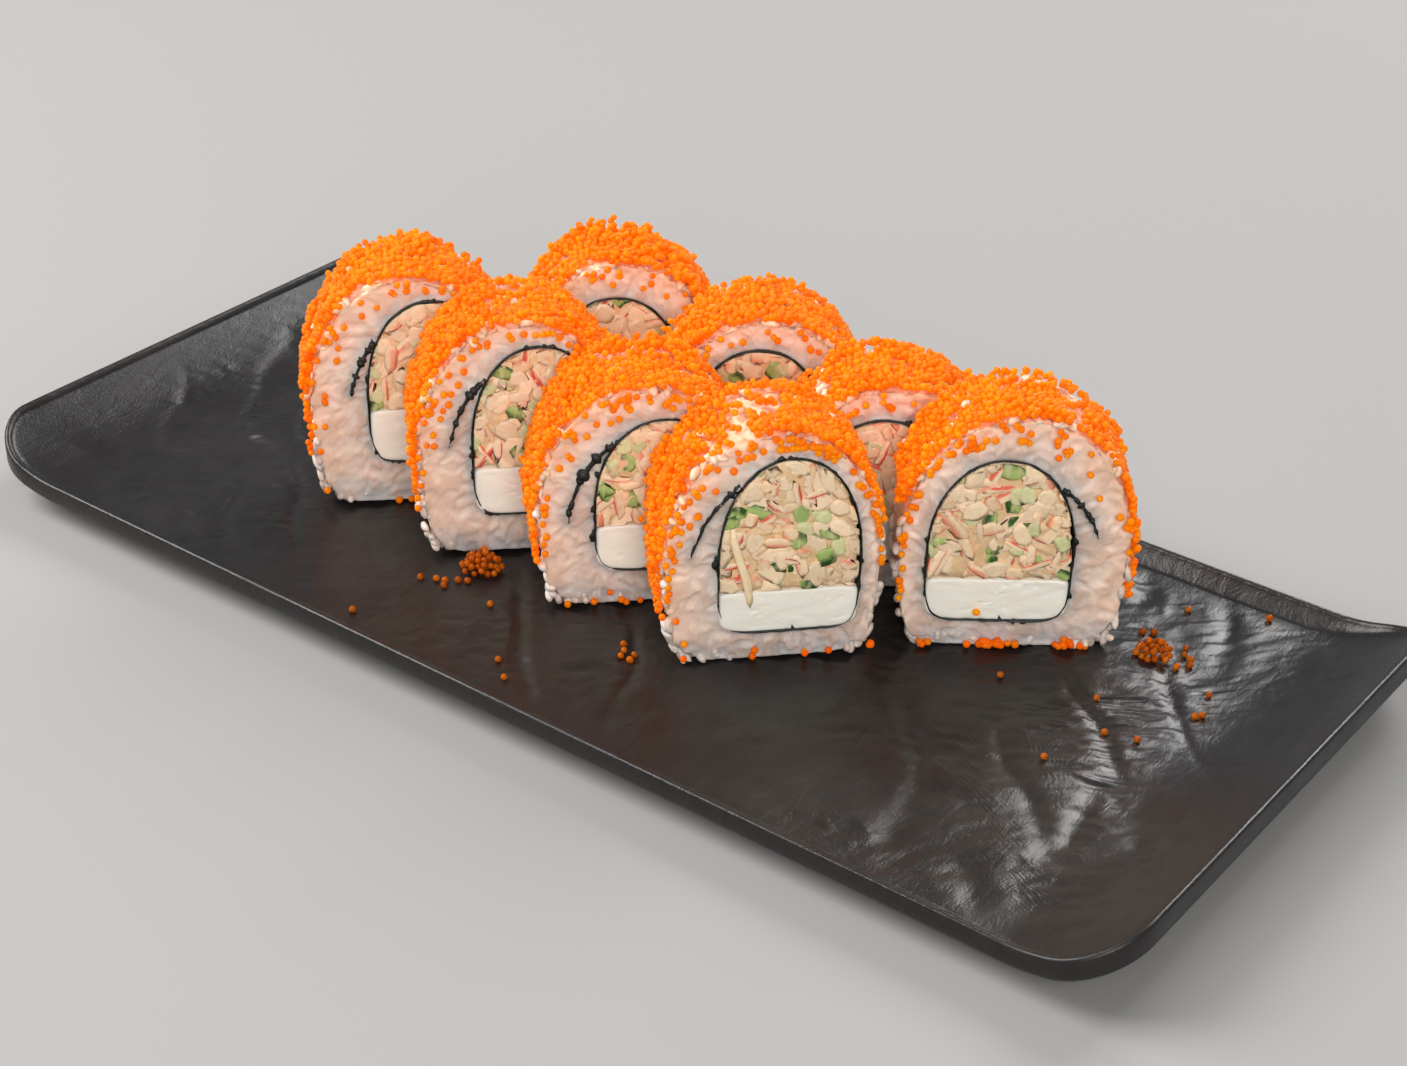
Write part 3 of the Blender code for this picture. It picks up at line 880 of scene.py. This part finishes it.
def build_tail(piece, seed):
    """A ribbon: at each step of the path a small rectangle, its thickness tapering to
    the free end, closed at both ends."""
    line = tail_path(piece, TAIL_STEPS)
    normal = beside(line)
    step = np.linspace(0, 1, len(line))
    crinkle = waves(step * TAIL_RUN, 0 * step, 1.6 * MM, seed, 2)
    flakes = np.clip(waves(step * TAIL_RUN, 0 * step, 2.2 * MM, seed + 50, 3), 0, 1)
    thick = (0.38 + 0.18 * crinkle + 1.3 * flakes) * MM * np.sqrt(np.clip(1.04 - step, 0, 1))
    proud = piece.depth / 2 + (0.36 + 0.16 * crinkle) * MM
    corners = ((-1, 1), (1, 1), (1, -1), (-1, -1))
    rings = [place(piece, line + normal * (thick * a)[:, None], b * proud) for a, b in corners]
    return stack(np.array(rings).transpose(1, 0, 2))


def build_nori(piece, seed):
    """The loop and its free end as one mesh."""
    loop_points, loop_faces = build_loop(piece, seed)
    tail_points, tail_faces = build_tail(piece, seed + 30)
    points = np.concatenate([loop_points, tail_points])
    return points, np.concatenate([loop_faces, tail_faces + len(loop_points)])


nori = Finish("damp_nori", Roughness=0.42, IOR=1.45)
grain = nori.noise(900, 4, 0.65)
nori.set("Base Color", nori.mix(grain, (0.0035, 0.0055, 0.0045), (0.016, 0.022, 0.015)))
nori.set("Roughness", 0.28 + 0.4 * grain)
nori.bump(grain, 0.25 * MM, 0.8)

for_slices("nori_sheet", "nori", nori, build_nori, 200, smooth=False)

# %% [markdown]
# ## Cream cheese
#
# The cheese is a bar laid along the roll, so each slice shows a smooth ivory block with
# soft edges and a few marks from the knife. It is a barrel of rings: from the middle of
# the front face out to the outline, along the bar, and back to the middle of the other
# face. On the front a small nick marks the lower edge.


# %% Build the cheese
CHEESE_AROUND = 150
CHEESE_RINGS = 13
NICK_AT = 1.0 * MM
NICK_WIDTH = 0.22 * MM


def cheese_outline(piece, count, shrink):
    """The loop below the cheese's top, by bearing from the block's middle: the lesser
    of the loop's own radius and the distance to the level top, with a soft corner."""
    bearings = turn_round(count)
    centre = halfway(piece, (piece.bottom + piece.cheese_top) / 2)
    half = np.array([piece.right - piece.left, piece.cheese_top - piece.bottom]) / 2 - shrink
    c, s = np.cos(bearings), np.sin(bearings)
    power = np.where(s > 0, 12.0, 5.0)
    radius = superellipse(c, s, *half, power)
    return centre, np.stack([c, s], axis=-1) * radius[:, None]


def build_cheese(piece, seed):
    """The barrel, its faces moved in and out by noise: slow waves less small pits."""
    centre, reach = cheese_outline(piece, CHEESE_AROUND, NORI + 0.06 * MM)
    half = piece.depth / 2
    face = [(share, half) for share in np.linspace(0.05, 0.96, CHEESE_RINGS)]
    stations = face + [(0.985, half - 0.15 * MM), (1.0, half - 0.6 * MM), (1.0, 0.0)]
    stations += [(share, -toward) for share, toward in stations[-2::-1]]
    nick = 0.30 * np.exp(-((reach[:, 0] - NICK_AT) / NICK_WIDTH) ** 2) * (reach[:, 1] < 0)
    rings = []
    for share, toward in stations:
        flat = centre + reach * (share * (1 - nick * share ** 6 * (toward > 0)))[:, None]
        wave = waves(flat[:, 0], flat[:, 1] * 2, 5 * MM, seed, 3)
        pits = np.clip(waves(flat[:, 0], flat[:, 1], 0.9 * MM, seed + 1) - 0.62, 0, 1)
        relief = 0.22 * wave * min(1.0, abs(toward) / half) - 0.8 * pits + 0.15
        proud = np.sign(toward) * MM * relief * (abs(toward) > half / 2)
        rings.append(place(piece, flat, np.full(len(flat), toward) + proud))
    return stack(np.array(rings))


cheese = Finish(
    "cream_cheese", Subsurface_Weight=0.35, Subsurface_Scale=0.002, Roughness=0.5,
    Subsurface_Radius=(1.0, 0.8, 0.55), IOR=1.42,
)
smear = cheese.noise(170, 4, 0.6, 0.3, cheese.stretched((1, 1, 2.5)))
cheese.set("Base Color", cheese.mix(smear, (0.91, 0.845, 0.71), (0.955, 0.90, 0.80)))
cheese.set("Roughness", 0.38 + 0.3 * smear)
cheese.bump(0.7 * smear + 0.3 * cheese.noise(1300, 2), 0.25 * MM, 0.5)

for_slices("cheese_block", "cheese", cheese, build_cheese, 300)

# %% [markdown]
# ## Salad
#
# Above the cheese lies a salad of shredded surimi, diced cucumber and mayonnaise. The
# knife has cut through all of it, so its pieces end nearly flush with the slice's
# faces. Close behind them is a cream-coloured core, a barrel like the cheese's with its
# faces sunk in a little, which shows in the small gaps.
#
# One shape makes every scrap: a superellipsoid, which goes from a ball to a brick as
# its power grows. Each scrap is stretched, turned, pressed flat at the cut face and
# pushed inside the nori. Colours go on point by point, so that one side of a surimi
# stick can be red and one side of a cucumber dice can keep its dark skin.


# %% Salad scraps
Scrap = namedtuple("Scrap", "size body edge edge_from share")
SCRAPS = (
    Scrap((2.9, 1.2, 0.9), (0.95, 0.67, 0.42), (0.90, 0.33, 0.20), 0.45, 0.22),
    Scrap((3.7, 0.8, 0.7), (0.97, 0.70, 0.46), (0.80, 0.11, 0.06), 0.45, 0.17),
    Scrap((2.7, 1.8, 1.1), (0.96, 0.70, 0.45), (0.96, 0.70, 0.45), 2.0, 0.33),
    Scrap((1.6, 1.2, 0.9), (0.93, 0.64, 0.39), (0.88, 0.30, 0.16), 0.55, 0.12),
    Scrap((2.2, 1.5, 1.2), (0.38, 0.50, 0.15), (0.025, 0.09, 0.012), 0.15, 0.09),
    Scrap((1.8, 1.4, 1.2), (0.66, 0.64, 0.32), (0.62, 0.62, 0.28), 2.0, 0.07),
)
SCRAPS_PER_FACE = 108
SCRAP_POWER = 3.2
EVEN_SPREAD = np.array([0.7549, 0.5698])
CORE_COLOUR = (0.80, 0.52, 0.28)
CORE_SUNK = 0.3 * MM
SHRED_HALF = np.array([9.2, 0.85, 0.5]) * MM
SHRED_LEAN = math.radians(-79)
SHRED_AT = np.array([4.3, 5.4]) * MM
SHRED_COLOUR = (0.97, 0.74, 0.46)


def keep_inside(piece, flat):
    """Pull points that lie beyond the nori back to just inside it, by bearing from the
    middle of its widest level, and lift those below the cheese's top."""
    level = piece.bottom + WIDEST_LEVEL * (piece.top - piece.bottom)
    centre = halfway(piece, level)
    offset = flat - centre
    bearing = np.arctan2(offset[:, 1], offset[:, 0])
    limit = np.linalg.norm(loop_arch(piece, bearing, NORI + 0.1 * MM) - centre, axis=1)
    size = np.maximum(np.linalg.norm(offset, axis=1), 1e-9)
    flat = centre + offset * np.minimum(1, limit / size)[:, None]
    flat[:, 1] = np.maximum(flat[:, 1], piece.cheese_top - 0.25 * MM)
    return flat


def build_salad(piece, seed):
    """Scraps at evenly spread points over both faces, cut off near the face, in front
    of the core. Each takes its kind at random, by the kinds' shares."""
    rng = np.random.default_rng(seed)
    shape, faces = stack(scrap_rings(SCRAP_POWER, 9, 6))
    core, core_faces = salad_core(piece, seed)
    low, high = np.array([piece.left, piece.cheese_top]), np.array([piece.right, piece.top])
    half = piece.depth / 2
    all_points, all_faces = [core], [core_faces]
    all_colours = [np.full((len(core), 3), CORE_COLOUR)]
    count = len(core)
    shares = np.array([scrap.share for scrap in SCRAPS])
    for side in (1, -1):
        for k in range(SCRAPS_PER_FACE):
            spread = (k * EVEN_SPREAD) % 1 + rng.uniform(-0.04, 0.04, 2)
            at = low + spread * (high - low)
            scrap = SCRAPS[rng.choice(len(SCRAPS), p=shares)]
            size = MM * np.array(scrap.size) * rng.uniform(0.75, 1.25, 3)
            wear = 1 + 0.20 * np.sin(4 * shape[:, [1, 2, 0]] + rng.uniform(0, 6, 3))
            local = turned(shape * size * wear, rng, 0.35)
            depth = half - rng.uniform(0.1, 0.6) * MM
            cut = half + rng.uniform(-0.30, 0.22) * MM
            tilt = rng.normal(0, 0.05, 2)
            flat = keep_inside(piece, at + local[:, :2])
            toward = np.minimum(depth + local[:, 2], cut + (local[:, :2] * tilt).sum(axis=1))
            all_points.append(place(piece, flat, side * toward))
            all_faces.append((faces if side > 0 else faces[:, ::-1]) + count)
            count += len(shape)
            edge = np.clip((shape[:, 1] - scrap.edge_from) / 0.25, 0, 1)[:, None]
            tone = rng.uniform(0.88, 1.06)
            colour = np.array(scrap.body) * (1 - edge) + np.array(scrap.edge) * edge
            all_colours.append(tone * colour)
    if piece.name == "left_1":
        all_points.append(long_shred(piece, shape))
        all_faces.append(faces + count)
        all_colours.append(np.full((len(shape), 3), SHRED_COLOUR))
    return [np.concatenate(parts) for parts in (all_points, all_faces, all_colours)]


def long_shred(piece, shape):
    """One long shred of surimi, gently waved, that leans over the others and the top of
    the cheese."""
    strip = shape * SHRED_HALF
    strip[:, 1] += 0.5 * MM * np.sin(strip[:, 0] / (3 * MM))
    c, s = math.cos(SHRED_LEAN), math.sin(SHRED_LEAN)
    flat = strip[:, :2] @ np.array([[c, s], [-s, c]])
    flat += np.array([piece.left, piece.cheese_top]) + SHRED_AT
    return place(piece, flat, piece.depth / 2 + 0.45 * MM + strip[:, 2])


def salad_core(piece, seed):
    """A barrel inside the nori and above the cheese, its faces a little sunk and wavy."""
    centre = halfway(piece, 0.55 * piece.cheese_top + 0.45 * piece.top)
    outline = keep_inside(piece, loop_arch(piece, turn_round(120), NORI + 0.3 * MM))
    half = piece.depth / 2
    stations = [(share, half - CORE_SUNK) for share in (0.1, 0.3, 0.5, 0.7, 0.85, 0.97)]
    stations += [(1.0, half - 1.6 * MM)]
    stations += [(share, -toward) for share, toward in stations[::-1]]
    rings = []
    for share, toward in stations:
        flat = centre + (outline - centre) * share
        wave = 0.5 * MM * waves(flat[:, 0], flat[:, 1], 1.3 * MM, seed, 2)
        rings.append(place(piece, flat, toward + np.sign(toward) * wave))
    return stack(np.array(rings))


salad = Finish(
    "surimi_salad", Subsurface_Weight=0.12, Subsurface_Scale=0.0015, Roughness=0.35,
    Subsurface_Radius=(1.0, 0.6, 0.35), IOR=1.42,
)
*_, tint = salad.look()
threads = salad.noise(700, 3, 0.6, 0.5, salad.stretched((1, 1, 0.35), (0.4, 0.3, 0.2)))
pale = salad.mix(0.30 * salad.step(threads, 0.48, 0.68), tint, (0.98, 0.76, 0.52))
brown = 0.16 * salad.step(salad.noise(420, 2), 0.58, 0.76)
salad.set("Base Color", salad.mix(brown, pale, (0.66, 0.36, 0.17)))
salad.set("Roughness", 0.22 + 0.35 * threads)
salad.bump(0.6 * threads + 0.4 * salad.noise(1500, 3), 0.45 * MM, 0.8)

for_slices("salad_scraps", "salad", salad, build_salad, 400)

# %% [markdown]
# ## Roe
#
# The eggs are about 1.4 mm across and stick to the outside of the rice, crowded on
# top, thinner down the sides, with bare patches where the rice shows. Some sit on
# others. They start from rows across the slice, each row shifted by half an egg, and
# noise then decides which places stay empty and where a second or third layer lies.
# Some of the eggs that lie under a second layer are left out, as nobody sees them.
#
# The egg itself is an icosphere of 80 faces, which is the fewest that still look round
# at this size. Its copies are made by adding arrays, so all the eggs on a slice are one
# mesh. Each egg carries its own shade of orange in the mesh's `look`, and how much
# painted shade darkens it where eggs crowd together.

# %% Egg shape
EGG = 0.71 * MM
FALLEN = 1.0


def egg_shape():
    bm = bmesh.new()
    bmesh.ops.create_icosphere(bm, subdivisions=2, radius=1.0)
    points = np.array([v.co[:] for v in bm.verts])
    faces = np.array([[v.index for v in f.verts] for f in bm.faces])
    bm.free()
    return points, faces


egg_points, egg_faces = egg_shape()
print("one egg:", len(egg_faces), "faces")


def eggs(centres, shades, rng):
    """One mesh of eggs round these centres, each of its own size."""
    sizes = EGG * rng.uniform(0.88, 1.08, len(centres))
    squash = rng.uniform(0.93, 1.03, (len(centres), 1, 3))
    places = centres[:, None, :] + sizes[:, None, None] * squash * egg_points[None]
    points, faces = many(egg_points, egg_faces, places)
    return points, faces, np.repeat(shades, len(egg_points), axis=0)


def egg_look(rng, count, crowd_shade, fallen=0.0):
    """One (shade, crowding, fallen) per egg: its shade is random, the second is painted
    shade, darker where other eggs crowd round, and `fallen` is 1 on the plate."""
    return np.column_stack([rng.uniform(size=count), np.full(count, crowd_shade), np.full(count, fallen)])


# %% Roe coats
ROW_STEP = 1.21 * MM
EGG_STEP = 1.36 * MM
LAYER = 0.68
JITTER = 0.16 * MM
LOOSER = 0.15 * MM
BURIED = 0.40


def roe_reach(piece):
    """The bearings at which the model's own coat of roe starts and ends."""
    offset = node_points("roe_" + piece.name) - piece.middle
    up = offset[:, 2] - WIDEST_LEVEL * piece.height
    bearing = np.degrees(np.arctan2(up, offset @ piece.along))
    bearing = np.where(bearing < -90, bearing + 360, bearing)
    return bearing.min(), bearing.max()


def coat(piece, seed):
    """Centres and shades of a slice's eggs. Places are rows along the arch by length
    and columns across the slice; the chance that one is filled falls down the sides."""
    rng = np.random.default_rng(seed)
    low, high = roe_reach(piece)
    bearings = np.radians(np.linspace(low - 6, high + 6, 900))
    run = run_along(rice_arch(piece, bearings))
    row = np.arange(0, run[-1], ROW_STEP)
    column = np.arange(-piece.depth / 2 + 0.5 * MM, piece.depth / 2, EGG_STEP)
    s, t = (grid.ravel() for grid in np.meshgrid(row, column, indexing="ij"))
    t = t + np.where(np.round(s / ROW_STEP) % 2 == 0, 0.0, EGG_STEP / 2)
    s = s + rng.normal(0, JITTER, len(s))
    t = t + rng.normal(0, JITTER, len(t))
    ok = np.abs(t) < piece.depth / 2 + 0.1 * MM
    s, t = s[ok], t[ok]
    bearing = np.interp(s, run, bearings)
    flat, way = rice_skin(piece, bearing)
    patch = waves(s + 50 * MM * seed, t, 5.5 * MM, seed, 2)
    up = np.clip(np.sin(bearing), -1, 1)
    dense = np.clip(0.70 + 0.55 * up, 0.25, 1.0)
    front = np.clip((piece.depth / 2 - np.abs(t)) / (2.5 * MM), 0, 1)
    chance = dense * (0.25 + 0.9 * (patch > -0.30)) * (0.7 + 0.3 * front)
    first = rng.uniform(size=len(s)) < chance
    heap = waves(s, t + 30 * MM * seed, 7 * MM, seed + 1, 2)
    doubled = 0.12 + 0.8 * np.clip(6 * heap, 0, 1)
    second = first & (up > 0.0) & (rng.uniform(size=len(s)) < doubled)
    third = second & (heap > 0.38) & (up > 0.45) & (rng.uniform(size=len(s)) < 0.8)
    buried = second & (rng.uniform(size=len(s)) < BURIED)
    centres, shades = [], []
    for level, chosen in enumerate((first & ~buried, second, third)):
        count, odd, above = chosen.sum(), level % 2, level > 0
        lift = (0.42 + 0.5 * EGG / MM + level * LAYER) * MM + rng.normal(0, 0.12 * MM, count)
        slide = odd * ROW_STEP / 2 + rng.normal(0, LOOSER, count) * above
        across = t[chosen] + odd * EGG_STEP / 4 + rng.normal(0, LOOSER, count) * above
        outward = way[chosen]
        at = flat[chosen] + outward * lift[:, None]
        at += np.stack([-outward[:, 1], outward[:, 0]], axis=-1) * slide[:, None]
        centres.append(place(piece, at, across))
        # Painted shade: eggs in thick heaps and in lower layers are made a darker orange.
        crowd_shade = np.clip(0.35 + 0.5 * heap[chosen] - 0.2 * level, 0, 1)
        shades.append(egg_look(rng, count, crowd_shade))
    return np.concatenate(centres), np.concatenate(shades)


def strays(piece, seed, count):
    """Single eggs stuck on the faces, most of them near the outer edge and the top."""
    rng = np.random.default_rng(seed)
    side = rng.choice([1, 1, -1], count)
    bearing = np.radians(rng.normal(100, 52, count))
    inwards = 0.25 + 0.45 * np.clip(np.sin(bearing), 0, 1)
    share = 1 - inwards * rng.uniform(size=count) ** 1.4
    inner, outer = loop_arch(piece, bearing, -1.2 * MM), rice_arch(piece, bearing, -0.3 * MM)
    flat = inner + (outer - inner) * share[:, None]
    flat[:, 1] = np.maximum(flat[:, 1], 1.0 * MM)
    centres = place(piece, flat, side * (piece.depth / 2 + 0.55 * MM))
    return centres, egg_look(rng, count, 0.15)


FOOT_CLUSTERS = 11


def foot_line(piece, seed, count):
    """Eggs caught along the foot of the front face, in a few clusters."""
    rng = np.random.default_rng(seed)
    middles = rng.uniform(-0.44, 0.44, FOOT_CLUSTERS)
    across = (rng.choice(middles, count) + rng.normal(0, 0.03, count)) * piece.width
    across = np.clip(across, -0.46 * piece.width, 0.46 * piece.width)
    flat = np.stack([across, (0.5 + rng.gamma(1.2, 0.45, count)) * MM], axis=-1)
    centres = place(piece, flat, piece.depth / 2 + rng.uniform(0.2, 0.8, count) * MM)
    return centres, egg_look(rng, count, 0.9)


def on_cheese(piece):
    """One egg that the knife has carried on to the cheese of the front right slice."""
    sideways = 0.63 * piece.left + 0.37 * piece.right
    level = 0.76 * piece.bottom + 0.24 * piece.cheese_top
    centre = place(piece, [[sideways, level]], [piece.depth / 2 + 0.65 * MM])
    return centre, np.array([[0.9, 0.1, 0.0]])


# The eggs glow a little: emission in their own orange is painted light, standing in for light
# scattered inside them; fallen eggs get none.
roe = Finish(
    "orange_roe", Transmission_Weight=0.55, Roughness=0.12, IOR=1.22, Emission_Strength=0.09,
)
shade, crowd_shade, fallen, _ = roe.look()
bright = roe.mix(shade, (1.0, 0.26, 0.0008), (1.0, 0.44, 0.003))
# This darker orange is painted shade for crowded and lower eggs.
deep = roe.mix(shade, (0.96, 0.17, 0.0004), (1.0, 0.28, 0.0008))
orange = roe.mix((crowd_shade * 1.4 - 0.05).limited(), bright, deep)
orange = roe.mix(fallen, orange, roe.mix(shade, (0.52, 0.10, 0.001), (0.75, 0.20, 0.003)))
roe.set("Base Color", orange)
roe.set("Emission Color", roe.mix(fallen, orange, (0.0, 0.0, 0.0)))
roe.set("Roughness", 0.12 + 0.10 * roe.noise(1400, 2))

STRAYS = {
    "left_1": 130, "left_2": 90, "left_3": 80, "left_4": 80, "right_1": 100, "right_2": 60,
}
FOOT_EGGS = {"right_1": 34, "left_1": 8, "left_2": 7, "left_3": 4, "right_2": 4}


def build_roe(piece, seed):
    """All the eggs on one slice."""
    groups = [coat(piece, seed), strays(piece, seed + 20, STRAYS.get(piece.name, 50))]
    groups.append(foot_line(piece, seed + 40, FOOT_EGGS.get(piece.name, 3)))
    if piece.name == "right_1":
        groups.append(on_cheese(piece))
    centres, shades = (np.concatenate(part) for part in zip(*groups))
    return eggs(centres, shades, np.random.default_rng(seed + 60))


for_slices("roe_eggs", "roe", roe, build_roe, 500)

# %% [markdown]
# Some eggs have fallen on the plate: two small heaps and a scatter of single ones. A
# heap fills a low dome with eggs, none closer to another than most of an egg.


# %% Fallen roe
HEAP_TRIALS = 2500
HEAP_GAP = 1.75 * EGG


def heap_eggs(node, seed):
    """Eggs at random inside the heap's box, kept if they lie under its dome and at
    least most of an egg away from those already kept."""
    rng = np.random.default_rng(seed)
    low, high = (np.array(corner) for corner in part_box(node))
    centre, half = (low + high) / 2, (high - low) / 2
    kept = []
    for trial in rng.uniform(-1, 1, (HEAP_TRIALS, 3)):
        level = low[2] + EGG * 0.75 + (trial[2] + 1) / 2 * half[2] * 1.6
        at = np.array([*(centre[:2] + trial[:2] * half[:2]), level])
        dome = 1 - trial[0] ** 2 - trial[1] ** 2
        if (at[2] - low[2] - 0.7 * EGG) / (2 * half[2]) > dome:
            continue
        if all(np.linalg.norm(at - other) > HEAP_GAP for other in kept):
            kept.append(at)
    return np.array(kept)


SINGLES = np.array([
    (89.3, 48.6), (103.3, 55.0), (90.5, 10.9), (106.3, 24.5), (107.5, 16.9), (108.4, 18.0),
    (96.8, 2.7), (102.9, 3.7), (92.5, -11.3), (72.5, 6.5), (-16.6, -35.7), (-36.1, -53.4),
    (-3.1, -48.7), (1.8, -52.6), (13.4, -31.8), (15.2, -31.0), (13.9, -33.4), (15.8, -33.0),
    (12.0, -30.2),
    (-29.5, -34.5), (-31.2, -35.1), (-28.4, -36.0), (-34.0, -36.7), (-26.0, -31.8), (-27.6, -32.8),
    (96.2, 34.0), (97.9, 33.2), (98.6, 31.6), (86.4, 35.6), (88.0, 37.0), (97.0, 29.4),
    (95.4, 36.0),
]) * MM


def singles():
    """The single eggs' centres, most of an egg's radius above the slate."""
    x, y = SINGLES.T
    return np.column_stack([x, y, floor_at(x) + slate(x, y) * end_calm(x) + 0.85 * EGG])


def fallen_eggs(name, centres, seed, crowd_shade, *nodes):
    rng = np.random.default_rng(seed)
    shades = egg_look(rng, len(centres), crowd_shade, FALLEN)
    settle(new_piece(name, *eggs(centres, shades, rng)), roe.material, "roe", *nodes)


for node, seed in (("roe_heap_front", 600), ("roe_heap_end", 601)):
    fallen_eggs(f"{node}_eggs", heap_eggs(node, seed), seed + 10, 0.85, node)
fallen_eggs("roe_strays_on_plate", singles(), 620, 0.75)

# %% [markdown]
# ## Floor, light and camera
#
# The floor is plain and pale, and isn't part of the object. Glossy black shows little
# but reflections, so the light that matters most for the plate is the wide one behind
# it. The food is lit from the left by a large soft lamp, and a weaker one near the
# camera opens the shadows on the cut faces.

# %% Floor
ground = bpy.data.meshes.new("floor")
FLOOR_HALF = 6.0
corners = [(a * FLOOR_HALF, b * FLOOR_HALF, 0) for a, b in ((-1, -1), (1, -1), (1, 1), (-1, 1))]
ground.from_pydata(corners, [], [(0, 1, 2, 3)])
floor = put("floor", ground)
pale = Finish("pale_floor", Roughness=0.8)
pale.shader.inputs["Base Color"].default_value = (0.30, 0.295, 0.29, 1.0)
floor.data.materials.append(pale.material)


# %% Light
def soft_light(name, position, target, size, power, colour):
    """A square lamp at `position` that faces `target`: its own -Z points there."""
    lamp = bpy.data.lights.new(name, "AREA")
    lamp.shape = "SQUARE"
    lamp.size = size
    lamp.energy = power
    lamp.color = colour
    holder = put(name, lamp)
    back = np.array(position) - np.array(target)
    back = back / np.linalg.norm(back)
    right = np.cross((0, 0, 1), back)
    right /= np.linalg.norm(right)
    up = np.cross(back, right)
    turn = np.column_stack([right, up, back])
    holder.matrix_world = Matrix.LocRotScale(position, Matrix(turn.tolist()), None)


soft_light("key", (-0.75, -0.35, 0.85), (0, 0, 0.03), 0.7, 18.0, (1.0, 0.975, 0.94))
soft_light("back", (0.02, 1.05, 0.80), (0, 0, 0.02), 0.6, 12.0, (1.0, 0.985, 0.97))
soft_light("front", (0.75, -0.85, 0.65), (0, 0, 0.03), 0.7, 11.5, (1.0, 0.985, 0.96))
world = bpy.data.worlds.new("studio")
world.use_nodes = True
room = world.node_tree.nodes["Background"].inputs
room["Color"].default_value = (0.93, 0.95, 1.0, 1.0)
room["Strength"].default_value = 0.31
bpy.context.scene.world = world
bpy.context.scene.view_settings.view_transform = "Standard"

# %% Camera
LENS = 64.43
EYE = np.array([0.2608, -0.3371, 0.2700])
YAW, DOWN, ROLL = (math.radians(a) for a in (-36.906, 31.198, 1.12))
level_ahead = np.array([math.sin(YAW), math.cos(YAW)]) * math.cos(DOWN)
ahead = np.array([*level_ahead, -math.sin(DOWN)])
level = np.array([math.cos(YAW), -math.sin(YAW), 0.0])
upright = np.cross(level, ahead)
right = math.cos(ROLL) * level + math.sin(ROLL) * upright
up = -math.sin(ROLL) * level + math.cos(ROLL) * upright
camera = put("camera", bpy.data.cameras.new("camera"))
camera.data.lens = LENS
camera.data.sensor_width = 36.0
camera.data.clip_start = 0.01
turn = np.column_stack([right, up, -ahead])
camera.matrix_world = Matrix.LocRotScale(EYE, Matrix(turn.tolist()), None)
bpy.context.scene.camera = camera
print("camera", EYE.round(3), "looks", ahead.round(3))
